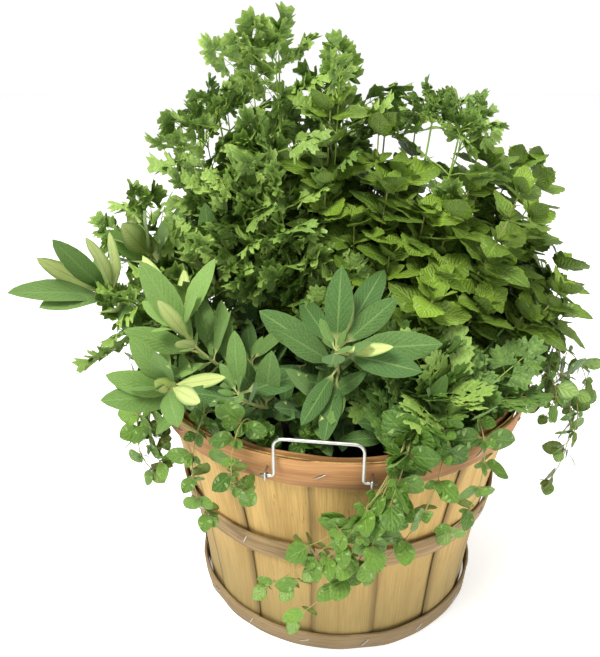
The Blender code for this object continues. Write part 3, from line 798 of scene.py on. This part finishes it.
def frond(cup, curl, phase):
    """A parsley frond a unit long: a midrib with two pairs of leaflets on short stalks, the
    lower pair larger, and one leaflet at the end. Each leaflet has its height on the midrib,
    its side, the angle it stands out at and its size."""
    rib = np.array([(0, 0, 0), (0, 0.25, 0.015), (0, 0.5, 0.01), (0, 0.62, -0.01)], float)
    parts = [stalk_part(rib, np.linspace(0.014, 0.008, 4), 3)]
    places = [(0.60, 0, 0.0, 0.42), (0.42, 1, 0.95, 0.34), (0.42, -1, 0.95, 0.34),
              (0.16, 1, 1.10, 0.40), (0.16, -1, 1.10, 0.40)]
    for index, (height, sign, turn, size) in enumerate(places):
        template = leaflet(cup, curl, phase + index * 1.9)
        angle = sign * turn
        along = unit([math.sin(angle), math.cos(angle), 0.10 * abs(sign)])
        across = unit(np.cross(along, [0.12 * sign, 0, 1.0]))
        normal = np.cross(across, along)
        foot = np.array([0, height, 0.01])
        base = foot + along * (0.10 if sign else 0.0)
        points = template["points"] * size
        parts.append(dict(template, points=(base + points[:, :1] * across
                                            + points[:, 1:2] * along
                                            + points[:, 2:] * normal)))
        if sign:
            stem = np.array([foot, base * 0.5 + foot * 0.5, base + along * 0.05])
            parts.append(stalk_part(stem, 0.008, 3))
    return merge(parts)


def blades(count, seed, **base):
    """Variants of one leaf, with its droop, fold, curl and twist varied a little."""
    rng = np.random.default_rng(seed)
    ranges = {"droop": (0.3, 1.8), "fold": (0.4, 1.6), "curl": (-0.6, 1.5), "twist": (-1, 1)}
    return [blade(**dict(base, **{key: base[key] * rng.uniform(*ends)
                                  for key, ends in ranges.items()}))
            for _ in range(count)]


TEMPLATES = {
    "sage": blades(7, 1, stations=11, stalk=0.20, stalk_width=0.016, width=SAGE_HALF_WIDTH,
                   fullness=0.66, belly=0.92, fold=0.13, droop=0.13, curl=-0.35,
                   ripple=0.014, teeth=0.0, twist=0.30),
    "mint": blades(7, 2, stations=15, stalk=0.05, stalk_width=0.025, width=0.31, fullness=0.78,
                   belly=0.72, fold=0.13, droop=0.12, curl=-0.22, ripple=0.018, teeth=0.065,
                   twist=0.25),
    "oregano": blades(7, 3, stations=9, stalk=0.14, stalk_width=0.035, width=0.37,
                      fullness=0.66, belly=0.80, fold=0.10, droop=0.12, curl=-0.35,
                      ripple=0.012, teeth=0.0, twist=0.25),
    "parsley": [frond(*shape) for shape in
                ((-0.25, 0.22, 0.0), (0.30, 0.34, 1.3), (-0.45, 0.30, 2.1), (0.15, 0.42, 0.7),
                 (-0.15, 0.38, 2.9))],
    "parsley_flat": [frond(*shape) for shape in
                     ((-0.12, 0.06, 0.0), (0.10, 0.10, 1.3), (-0.20, 0.08, 2.1))],
}

# The space a bail sweeps, with room to spare, along its hinge (half), inwards and up.
SWING_HALF_LENGTH = 0.050
SWING_LOW = (-0.039, -0.004)
SWING_HIGH = (0.008, 0.038)


def in_the_way(points):
    """Which leaves reach into a handle's swing, through the basket's wall, into the soil or
    far out of the frame's box; points are leaves by points by axes."""
    blocked = np.zeros(len(points), bool)
    for side in SIDES:
        turn, place = hinge_frame(side)
        local = (points - place) @ turn
        swept = (local[..., 1:] > SWING_LOW) & (local[..., 1:] < SWING_HIGH)
        blocked |= ((np.abs(local[..., 0]) < SWING_HALF_LENGTH) & swept.all(-1)).any(1)
    radius = np.hypot(points[..., 0], points[..., 1])
    z = points[..., 2]
    wall = (radius > inside_face(z) - 0.004) & (radius < hoop_outside(z) + 0.0006)
    blocked |= (wall & (z < HEIGHT + 0.0008)).any(1)
    blocked |= (z < SOIL_EDGE).any(1) & (radius < inside_face(z)).any(1)
    low, high = np.array(CAD_BOX[0]), np.array(CAD_BOX[1])
    room = 0.03 * (high - low) + 0.008
    blocked |= ((points < low - room) | (points > high + room)).any((1, 2))
    return blocked


class Growth:
    """Gathers the stems and leaves of one piece and makes them one mesh."""

    def __init__(self, kind):
        self.kind = kind
        self.templates = TEMPLATES[kind]
        self.leaves = {}
        self.parts = []
        self.tones = []

    def add(self, part, tone):
        self.parts.append(part)
        self.tones.append(np.full(len(part["points"]), tone))

    def stem(self, path, radii, tone):
        self.add(stalk_part(path, radii, 6), tone)

    def leaf(self, place, out, normal, size, tone, variant=None, broad=1.0):
        variant = int(RNG.integers(len(self.templates))) if variant is None else variant
        out = unit(out)
        across = unit(np.cross(out, normal))
        normal = np.cross(across, out)
        turn = np.stack([across * broad, out, normal]) * size
        self.leaves.setdefault(variant, []).append((place, turn, tone))

    def leaf_to(self, base, tip, normal, tone, half_width):
        """A sage leaf from its base to a point: sized and tipped up so that its drooped tip
        ends there."""
        variant = int(RNG.integers(len(self.templates)))
        end = self.templates[variant]["tip"]
        span = np.asarray(tip, float) - base
        along = unit(span)
        square = unit(normal - along * np.dot(normal, along))
        sag = math.atan2(-end[2], end[1])
        out = along * math.cos(sag) + square * math.sin(sag)
        size = np.linalg.norm(span) / math.hypot(end[1], end[2])
        broad = half_width / (SAGE_HALF_WIDTH * size)
        self.leaf(base, out, square, size, tone, variant, broad)

    def place_leaves(self):
        for variant, placed in self.leaves.items():
            template = self.templates[variant]
            places, turns, tones = (np.array(values) for values in zip(*placed))
            points = template["points"] @ turns + places[:, None]
            clear = ~in_the_way(points)
            for leaf_points, tone in zip(points[clear], tones[clear]):
                self.add(dict(template, points=leaf_points), tone)

    def finish(self, name, replaced=()):
        self.place_leaves()
        whole = merge(self.parts)
        values = {key: whole.pop(key) for key in ("under", "stalk")}
        values["tone"] = np.clip(np.concatenate(self.tones), 0, 1)
        mesh = make_mesh(name, **whole, values=values, sharp=70)
        herb = self.kind.split("_")[0]
        add_piece(mesh, MATERIALS[herb], replaced)


# How each herb grows: pairs of leaves, share of the stem below them, leaf length at the bottom
# and the top, lift at the bottom and the top in degrees, how far faces turn to the sky and
# outwards, stem radius, and the size of the small leaves in the axils.
HABITS = {
    "sage": {"pairs": 5, "bare": 0.34, "length": (0.062, 0.056), "lift": (20, 52), "sky": 0.7,
             "outward": 0.25, "stem": 0.0026, "axil": 0.36, "tuft": (0.55, 0.36), "spread": 12},
    "mint": {"pairs": 9, "bare": 0.16, "length": (0.056, 0.040), "lift": (-10, 28), "sky": 0.70,
             "outward": 0.45, "stem": 0.0015, "axil": 0.46, "tuft": (0.66, 0.42), "spread": 16},
    "oregano": {"pairs": 9, "bare": 0.16, "length": (0.030, 0.021), "lift": (6, 38),
                "sky": 0.45, "outward": 0.65, "stem": 0.0008, "axil": 0.5,
                "tuft": (0.72, 0.5), "spread": 24},
}
HABITS["trailing"] = dict(HABITS["oregano"], pairs=6, bare=0.40, length=(0.027, 0.021))
# Where a parsley stalk's pairs of fronds stand along it, and their lengths.
FROND_NODES = ((0.50, 0.042), (0.63, 0.046), (0.76, 0.045), (0.88, 0.042), (0.97, 0.038))


def stem_points(row):
    """The four points of a stem's curve, as its row in SPRIGS gives them: leaning to its tip,
    or arching over the rim to hang where the tip is below it. A sixth value is the angle at
    which a hanging stem bends down, where that isn't the root's."""
    root_turn, root_share, tip_turn, reach, height, *bend = row
    rim = float(hoop_outside(HEIGHT))
    root_radius = root_share * float(inside_face(SOIL_EDGE))
    root = polar(root_turn, root_radius, SOIL_EDGE + 0.008 * (1 - root_share**2) - 0.003)
    tip = polar(tip_turn, rim + reach, HEIGHT + height)
    span = tip - root
    length = np.linalg.norm(span)
    if height > 0:
        first = root + UP * length * 0.4
        second = tip - unit(unit(span) + UP * 0.3) * length * 0.35
    else:
        first = polar(root_turn, (root_radius + rim) / 2, HEIGHT + 0.090)
        second = polar(bend[0] if bend else root_turn, rim + reach + 0.040, HEIGHT - 0.010)
    return np.array([root, first, second, tip])


def along_curve(points, share):
    """Places and headings on a cubic Bezier curve at an array of shares."""
    share = np.atleast_1d(np.asarray(share, float))[:, None]
    rest = 1 - share
    place = (rest**3 * points[0] + 3 * rest**2 * share * points[1]
             + 3 * rest * share**2 * points[2] + share**3 * points[3])
    slope = (rest**2 * (points[1] - points[0]) + 2 * rest * share * (points[2] - points[1])
             + share**2 * (points[3] - points[2]))
    return place, unit(slope)


def aside(heading, degrees):
    """A direction square to the heading, turned round it by the degrees."""
    first = unit(np.cross(heading, [0.13, 0.97, 0.21]))
    second = np.cross(heading, first)
    turn = math.radians(degrees)
    return first * math.cos(turn) + second * math.sin(turn)


def between(pair, share):
    return pair[0] + (pair[1] - pair[0]) * share


def outward(place):
    """The level direction from the basket's middle to a place."""
    return unit(np.array([place[0], place[1], 0.0]))


def grow_paired(growth, points, habit, scale, tone):
    """A stem with opposite pairs of leaves, each pair a quarter turn on from the last, small
    leaves in their axils and a tuft at the tip. The pairs stand a little closer near the tip."""
    steps = np.linspace(0, 1, 18)
    path = along_curve(points, steps)[0]
    growth.stem(path, habit["stem"] * scale * (1 - 0.55 * steps), tone + 0.15)
    shares = habit["bare"] + (0.98 - habit["bare"]) * np.linspace(0, 1, habit["pairs"]) ** 0.92
    places, headings = along_curve(points, shares)
    start = RNG.uniform(0, 90)
    for index, (share, place, heading) in enumerate(zip(shares, places, headings)):
        high = index / (habit["pairs"] - 1)
        face = UP * habit["sky"] + outward(place) * habit["outward"] + FORWARD * 0.30
        for half_turn in (0, 180):
            degrees = start + 90 * index + half_turn + RNG.normal(0, habit["spread"])
            flat = aside(heading, degrees)
            lift = math.radians(between(habit["lift"], high) + RNG.normal(0, 9))
            out = flat * math.cos(lift) + heading * math.sin(lift)
            normal = heading * math.cos(lift) * 0.6 - flat * math.sin(lift) * 0.6 + face
            normal = normal + flat * RNG.normal(0, 0.12)
            size = between(habit["length"], high) * scale * RNG.uniform(0.80, 1.15)
            # Leaves higher on the stem are lighter: partly the paler young growth near the tip,
            # partly painted shade on the lower, inner leaves.
            leaf_tone = tone + 0.34 * (high - 0.5) + RNG.normal(0, 0.14)
            growth.leaf(place, out, normal, size, leaf_tone)
            if index < habit["pairs"] - 1:
                small = unit(flat * 0.55 + heading * 0.9)
                turned = aside(heading, degrees + 70)
                for way in (1, -1):
                    growth.leaf(place + small * 0.001, unit(small + turned * way * 0.75),
                                heading * 0.5 + face, size * habit["axil"] * RNG.uniform(0.7, 1.1),
                                leaf_tone + 0.12)
    tip, heading = (value[0] for value in along_curve(points, 1.0))
    for ring, share in enumerate(habit["tuft"]):
        for half_turn in (0, 180):
            flat = aside(heading, start + 45 + 90 * ring + half_turn)
            out = flat * 0.6 + heading * (0.6 + 0.5 * ring)
            growth.leaf(tip, out, heading * 0.6 - flat * 0.4 + outward(tip) * 0.3,
                        habit["length"][1] * scale * share * 1.1, tone + 0.40)


def grow_parsley(growth, points, scale, tone):
    """A long green stalk with fronds in pairs on side stalks and one at its end."""
    steps = np.linspace(0, 1, 16)
    path = along_curve(points, steps)[0]
    growth.stem(path, 0.0013 * scale * (1 - 0.5 * steps), tone + 0.2)
    start = RNG.uniform(0, 180)
    for index, (share, size) in enumerate(FROND_NODES):
        place, heading = (value[0] for value in along_curve(points, share))
        for half_turn in (0, 180):
            flat = aside(heading, start + index * 67 + half_turn + RNG.normal(0, 14))
            lift = math.radians(RNG.uniform(15, 50))
            out = flat * math.cos(lift) + heading * math.sin(lift)
            reach = RNG.uniform(0.010, 0.024) * scale
            end = place + out * reach
            middle = (place + end) / 2 + UP * 0.0015
            growth.stem([place, middle, end], [0.0008, 0.0007, 0.0006], tone + 0.2)
            normal = heading * 0.5 + UP * 0.6 + outward(place) * 0.5
            normal = normal + aside(heading, RNG.uniform(0, 360)) * 0.4
            # Fronds higher on the stalk are lighter: partly paler young growth, partly painted
            # shade on the lower fronds.
            growth.leaf(end, out, normal, size * scale * RNG.uniform(0.8, 1.2),
                        tone + RNG.normal(0, 0.15) + 0.10 * index)
    tip, heading = (value[0] for value in along_curve(points, 1.0))
    growth.leaf(tip, heading + aside(heading, start) * 0.3, outward(tip) + UP * 0.5,
                0.042 * scale, tone + 0.25)


def grow_to_tips(growth, points, tips, lighter):
    """Full-sized sage leaves to given tips, each from the place on the stem's upper half that
    is nearest a leaf's length away. Where `pale` is 1 the leaf shows its underside."""
    shares = np.linspace(0.45, 1.0, 40)
    places = along_curve(points, shares)[0]
    for x, y, z, length, tone, pale in tips:
        tip = np.array([x, y, z])
        away = np.linalg.norm(places - tip, axis=1)
        base = places[np.argmin(np.abs(away - length))]
        face = UP * 0.60 + outward(tip) * 0.20 + FORWARD * 0.65
        half_width = (0.115 if pale else 0.145) * length * RNG.uniform(0.9, 1.1)
        growth.leaf_to(base, tip, -face if pale else face, tone + lighter, half_width)


def grow_sprig(growth, row, scale=1.0, tone=0.4):
    points = stem_points(row)
    if growth.kind.startswith("parsley"):
        grow_parsley(growth, points, scale, tone)
    else:
        habit = HABITS["trailing" if row[4] < 0 else growth.kind]
        grow_paired(growth, points, habit, scale, tone)


# Each sprig, as the frame's nodes of these names stand: where it leaves the soil (degrees
# round, share of the soil's radius) and where its stem ends (degrees round, metres out past
# the rim, metres above the rim).
SPRIGS = {
    "sage_left_far": (192, 0.78, 188, 0.030, 0.080),
    "sage_left_low": (224, 0.78, 218, 0.006, 0.034),
    "sage_left_back": (176, 0.66, 173, 0.000, 0.100),
    "sage_left_near": (228, 0.66, 217, -0.012, 0.078),
    "sage_upright": (190, 0.45, 187, -0.060, 0.100),
    "sage_middle": (245, 0.66, 239, -0.012, 0.042),
    "sage_front": (270, 0.55, 265, -0.054, 0.072),
    "sage_front_right": (292, 0.66, 295, -0.032, 0.020),
    "mint_tall": (80, 0.15, 124, -0.160, 0.240),
    "mint_back": (45, 0.45, 44, -0.083, 0.220),
    "mint_right": (12, 0.45, 12, -0.045, 0.190),
    "mint_right_back": (30, 0.68, 23, 0.030, 0.180),
    "mint_right_side": (5, 0.76, 5, 0.030, 0.095),
    "mint_centre": (330, 0.35, 342, -0.085, 0.160),
    "mint_front": (305, 0.50, 308, -0.070, 0.100),
    "mint_right_front": (338, 0.72, 343, -0.015, 0.070),
    "mint_far_back": (68, 0.78, 65, 0.000, 0.160),
    "parsley_tallest": (150, 0.35, 148, -0.115, 0.285),
    "parsley_top": (95, 0.35, 88, -0.125, 0.265),
    "parsley_left": (155, 0.55, 159, -0.046, 0.210),
    "parsley_middle": (215, 0.20, 208, -0.120, 0.165),
    "parsley_left_back": (160, 0.80, 166, 0.040, 0.105),
    "parsley_right": (355, 0.18, 0, -0.081, 0.215),
    "parsley_front": (296, 0.78, 297, -0.035, 0.038),
    "parsley_back": (120, 0.74, 118, 0.010, 0.150),
    "oregano_front": (290, 0.93, 257, 0.000, -0.158),
    "oregano_front_short": (294, 0.91, 276, 0.006, -0.095),
    "oregano_left": (210, 0.93, 207, 0.014, -0.070),
    "oregano_right_front": (303, 0.94, 296, 0.006, -0.072),
    "oregano_right": (347, 0.92, 349, 0.034, -0.115),
    "oregano_right_high": (357, 0.93, 0, 0.058, -0.055),
    "oregano_back": (105, 0.93, 107, 0.018, -0.080),
}

# The tips of the large sage leaves on each sage sprig, each with its length, its tone and
# whether its pale underside shows.
SAGE_TIPS = {
    "sage_left_far": (
        (-0.270, -0.120, 0.352, 0.080, 0.25, 0), (-0.243, -0.080, 0.384, 0.070, 0.20, 0),
        (-0.219, -0.070, 0.383, 0.066, 0.95, 1), (-0.254, -0.090, 0.372, 0.070, 0.90, 1),
        (-0.201, -0.060, 0.385, 0.068, 0.95, 1), (-0.176, -0.090, 0.303, 0.070, 0.40, 0),
        (-0.226, -0.030, 0.352, 0.050, 0.70, 0), (-0.250, -0.110, 0.335, 0.070, 0.40, 0)),
    "sage_left_low": (
        (-0.198, -0.150, 0.273, 0.076, 0.30, 0), (-0.195, -0.140, 0.289, 0.070, 0.55, 0),
        (-0.174, -0.130, 0.320, 0.060, 0.45, 0), (-0.098, -0.150, 0.293, 0.050, 1.00, 1),
        (-0.066, -0.200, 0.255, 0.080, 0.10, 0), (-0.111, -0.200, 0.299, 0.055, 0.50, 1),
        (-0.150, -0.150, 0.315, 0.060, 0.35, 0), (-0.130, -0.185, 0.270, 0.060, 0.30, 0)),
    "sage_left_back": (
        (-0.190, -0.060, 0.392, 0.080, 0.45, 0), (-0.172, -0.050, 0.400, 0.080, 0.40, 0),
        (-0.150, -0.040, 0.392, 0.076, 0.30, 0), (-0.205, -0.045, 0.360, 0.074, 0.95, 1),
        (-0.222, 0.000, 0.370, 0.066, 0.35, 0), (-0.212, 0.050, 0.376, 0.064, 0.90, 1),
        (-0.127, 0.000, 0.351, 0.070, 0.70, 1), (-0.152, 0.040, 0.388, 0.070, 0.50, 0),
        (-0.185, -0.020, 0.382, 0.070, 0.60, 1)),
    "sage_left_near": (
        (-0.168, -0.100, 0.372, 0.084, 0.45, 0), (-0.175, -0.060, 0.364, 0.066, 0.95, 1),
        (-0.140, -0.060, 0.352, 0.056, 0.95, 1), (-0.108, -0.080, 0.331, 0.066, 0.40, 0),
        (-0.182, -0.120, 0.320, 0.070, 0.40, 0), (-0.111, -0.080, 0.368, 0.064, 0.60, 0),
        (-0.128, -0.050, 0.322, 0.064, 0.30, 0), (-0.150, -0.130, 0.350, 0.060, 0.95, 1)),
    "sage_upright": (
        (-0.127, 0.000, 0.396, 0.072, 0.50, 0), (-0.070, -0.030, 0.349, 0.074, 0.30, 0),
        (-0.060, -0.050, 0.331, 0.068, 0.40, 0), (-0.150, 0.000, 0.366, 0.066, 0.80, 1),
        (-0.085, -0.050, 0.329, 0.070, 0.25, 0), (-0.110, -0.030, 0.370, 0.060, 0.90, 1)),
    "sage_middle": (
        (-0.061, -0.150, 0.316, 0.070, 0.60, 0), (-0.036, -0.130, 0.287, 0.074, 0.20, 0),
        (-0.099, -0.120, 0.305, 0.060, 0.35, 0), (-0.080, -0.135, 0.290, 0.060, 0.50, 0)),
    "sage_front": (
        (-0.008, -0.110, 0.371, 0.070, 0.35, 0), (-0.073, -0.110, 0.333, 0.076, 0.40, 0),
        (-0.056, -0.150, 0.332, 0.068, 0.50, 0), (0.040, -0.100, 0.340, 0.066, 0.45, 0),
        (0.071, -0.140, 0.317, 0.082, 0.50, 0), (0.053, -0.160, 0.303, 0.070, 0.30, 0),
        (0.030, -0.160, 0.323, 0.046, 1.00, 1), (-0.039, -0.170, 0.262, 0.056, 0.10, 0),
        (-0.022, -0.176, 0.250, 0.060, 0.05, 0), (0.001, -0.120, 0.348, 0.048, 0.70, 1),
        (-0.040, -0.070, 0.327, 0.060, 0.30, 0), (0.032, -0.060, 0.352, 0.070, 0.20, 0)),
    "sage_front_right": (
        (0.026, -0.172, 0.262, 0.074, 0.85, 0), (0.092, -0.125, 0.262, 0.060, 0.40, 0),
        (0.039, -0.150, 0.282, 0.056, 0.40, 0)),
}

for sprig_name, sprig_row in SPRIGS.items():
    herb_name = "parsley_flat" if sprig_name == "parsley_front" else sprig_name.split("_")[0]
    sprig = Growth(herb_name)
    if sprig_name in SAGE_TIPS:
        light = 0.60 if "left" in sprig_name else 0.10
        grow_paired(sprig, stem_points(sprig_row), HABITS["sage"], 0.88, light)
        grow_to_tips(sprig, stem_points(sprig_row), SAGE_TIPS[sprig_name], light - 0.40)
    else:
        grow_sprig(sprig, sprig_row)
    sprig.finish(sprig_name + "_grown", (sprig_name,))

# Shoots that fill the gaps between them: the herb, how many, their size and tone, and the
# ranges of the root's angle and share and of the tip's reach and height.
THICKETS = (
    ("mint_thicket", "mint", 15, 1.0, 0.30, (-32, 90), (0.10, 0.85), (-0.140, 0.000),
     (0.060, 0.180)),
    ("mint_outer", "mint", 11, 0.95, 0.38, (-24, 50), (0.55, 0.90), (-0.030, 0.042),
     (0.030, 0.185)),
    ("parsley_thicket", "parsley", 17, 1.0, 0.30, (92, 205), (0.15, 0.85), (-0.120, 0.000),
     (0.060, 0.215)),
    ("parsley_centre", "parsley", 5, 0.9, 0.20, (215, 345), (0.10, 0.50), (-0.150, -0.080),
     (0.050, 0.110)),
    ("parsley_low", "parsley_flat", 10, 1.0, -0.20, (288, 326), (0.40, 0.85), (-0.080, -0.030),
     (0.016, 0.046)),
    ("sage_thicket", "sage", 9, 0.8, 0.12, (165, 290), (0.30, 0.85), (-0.110, -0.025),
     (0.015, 0.055)),
    ("oregano_cushion", "oregano", 22, 0.76, 0.05, (-180, 180), (0.74, 0.92), (-0.050, -0.012),
     (0.004, 0.024)),
    ("oregano_left_strands", "oregano", 4, 0.85, 0.40, (194, 236), (0.92, 0.97), (0.004, 0.012),
     (-0.075, -0.020)),
    ("oregano_right_strands", "oregano", 4, 0.85, 0.40, (330, 366), (0.92, 0.97), (0.010, 0.050),
     (-0.090, -0.010)),
)
for name, herb_name, shoots, scale, tone, turns, roots, reaches, heights in THICKETS:
    thicket = Growth(herb_name)
    for shoot in range(shoots):
        share = (shoot + 0.5) / shoots
        turn = between(turns, share) + RNG.normal(0, 4)
        depth = (shoot * 0.618) % 1.0
        grow_sprig(thicket, (turn, between(roots, depth), turn + RNG.normal(0, 5),
                             between(reaches, depth), between(heights, 1 - depth)),
                   scale * RNG.uniform(0.9, 1.1), tone)
    thicket.finish(name)


# Shoots at listed places: the herb, their size and tone, and rows like those of SPRIGS.
SHOOTS = {
    "mint_shoots": ("mint", 1.0, 0.40, (
        (190, 0.15, 180, -0.171, 0.242), (20, 0.15, 0, -0.155, 0.226),
        (228, 0.20, 228, -0.158, 0.180), (348, 0.20, 348, -0.135, 0.186),
        (285, 0.25, 285, -0.154, 0.150), (337, 0.30, 337, -0.109, 0.155),
        (217, 0.25, 217, -0.135, 0.125), (307, 0.30, 307, -0.122, 0.125),
        (323, 0.35, 323, -0.084, 0.108), (13, 0.45, 13, -0.055, 0.200),
        (19, 0.55, 19, -0.005, 0.186), (11, 0.60, 11, 0.010, 0.170),
        (0, 0.40, 0, -0.071, 0.172), (6, 0.65, 6, 0.000, 0.125),
        (352, 0.50, 352, -0.036, 0.108), (0, 0.75, 0, 0.020, 0.078),
        (327, 0.50, 330, -0.050, 0.085), (354, 0.75, 354, 0.008, 0.036))),
    "parsley_shoots": ("parsley", 0.95, 0.42, (
        (160, 0.35, 160, -0.096, 0.272), (154, 0.30, 154, -0.116, 0.280),
        (180, 0.10, 180, -0.178, 0.256), (169, 0.45, 169, -0.078, 0.230),
        (172, 0.50, 172, -0.052, 0.212), (193, 0.30, 193, -0.098, 0.170),
        (215, 0.25, 215, -0.115, 0.130), (196, 0.40, 196, -0.078, 0.118),
        (168, 0.75, 168, 0.008, 0.140), (191, 0.80, 191, 0.020, 0.068))),
    "oregano_front_strands": ("oregano", 1.0, 0.36, (
        (291, 0.93, 266, 0.002, -0.118, 275), (293, 0.93, 273, 0.006, -0.095, 276),
        (289, 0.94, 270, 0.006, -0.080, 276), (289, 0.94, 275, 0.008, -0.060, 278),
        (290, 0.94, 256, 0.002, -0.122, 279), (290, 0.94, 262, 0.006, -0.095, 277),
        (291, 0.94, 249, 0.004, -0.128, 282), (291, 0.94, 259, 0.008, -0.075, 281),
        (243, 0.94, 244, 0.010, -0.030))),
}
for name, (herb_name, scale, tone, rows) in SHOOTS.items():
    shoots = Growth(herb_name)
    for row in rows:
        grow_sprig(shoots, row, scale * RNG.uniform(0.92, 1.08), tone)
    shoots.finish(name)


def make_crowns():
    """Curled parsley heads on long bowed stalks: leaflet fronds set close in a low dome."""
    crowns = Growth("parsley")
    for row in CROWNS:
        points = stem_points(row)
        steps = np.linspace(0, 1, 16)
        crowns.stem(along_curve(points, steps)[0], 0.0014 * (1 - 0.4 * steps), 0.85)
        tip, heading = (value[0] for value in along_curve(points, 1.0))
        for spoke in range(11):
            flat = aside(heading, 137.5 * spoke)
            lean = 0.25 + 0.75 * math.sqrt(spoke / 11)
            out = unit(flat * lean + UP * (1.25 - lean))
            end = tip + out * 0.012
            crowns.stem([tip, (tip + end) / 2 + UP * 0.001, end], 0.0006, 0.8)
            crowns.leaf(end, out, UP + outward(tip) * 0.5 + flat * 0.3,
                        0.026 * RNG.uniform(0.85, 1.15), 0.45 + RNG.normal(0, 0.12))
    crowns.finish("parsley_crowns")


# The parsley's crowns, as rows of SPRIGS.
CROWNS = (
    (60, 0.30, 38, -0.136, 0.216), (20, 0.30, 10, -0.105, 0.230), (15, 0.40, 355, -0.085, 0.226),
    (150, 0.45, 165, -0.066, 0.232),
)
make_crowns()

# ---------------------------------------------------------------- floor, light and camera


def add_light(name, place, target, size, power, colour=(1.0, 1.0, 1.0)):
    """A square area light that faces a target."""
    light = bpy.data.lights.new(name, "AREA")
    light.shape = "SQUARE"
    light.size = size
    light.energy = power
    light.color = colour
    lamp = bpy.data.objects.new(name, light)
    bpy.context.scene.collection.objects.link(lamp)
    lamp.location = place
    direction = Vector(target) - Vector(place)
    lamp.rotation_mode = "QUATERNION"
    lamp.rotation_quaternion = direction.to_track_quat("-Z", "Y")


def make_stage():
    """A pale floor, a soft key from the upper left, a wide overhead and an even sky, the floor
    glowing and the seen sky bright enough to meet in one white."""
    half, level = 6.0, -0.0004
    floor_glow, sky, seen_sky = 0.46, 0.55, 0.5
    mesh = make_mesh("floor", [(-half, -half, level), (half, -half, level), (half, half, level),
                               (-half, half, level)], [(0, 1, 2, 3)])
    floor = bpy.data.objects.new("floor", mesh)
    bpy.context.scene.collection.objects.link(floor)
    mesh.materials.append(new_material(
        "floor_pale", Base_Color=(0.92, 0.92, 0.92, 1.0), Roughness=0.9, Specular_IOR_Level=0.1,
        Emission_Color=(1.0, 1.0, 1.0, 1.0), Emission_Strength=floor_glow)[0])
    add_light("key", (-0.9, -1.2, 2.3), (0.0, 0.0, 0.25), 0.7, 66.0, (1.0, 0.98, 0.93))
    add_light("overhead", (0.3, 0.3, 2.4), (0.0, 0.0, 0.2), 1.5, 24.0)
    add_light("fill", (1.7, -1.5, 1.1), (0.0, 0.0, 0.2), 1.6, 9.0)
    world = bpy.data.worlds.new("studio")
    world.use_nodes = True
    tree = world.node_tree
    background = tree.nodes["Background"]
    background.inputs["Color"].default_value = (1.0, 1.0, 1.0, 1.0)
    seen = add_node(tree, "ShaderNodeLightPath").outputs["Is Camera Ray"]
    set_input(tree, background.inputs["Strength"], plus(tree, sky, times(tree, seen, seen_sky)))
    bpy.context.scene.world = world


def make_camera():
    """Close above the front, looking down by 23 degrees."""
    camera = bpy.data.cameras.new("camera")
    camera.sensor_width = 36.0
    camera.lens = 38.36
    camera.clip_start = 0.02
    eye = bpy.data.objects.new("camera", camera)
    bpy.context.scene.collection.objects.link(eye)
    eye.location = (-0.040, -0.636, 0.544)
    eye.rotation_euler = (math.radians(90 - 23.3), 0.0, 0.0)
    bpy.context.scene.camera = eye


make_stage()
make_camera()
bpy.context.scene.view_settings.view_transform = "Standard"
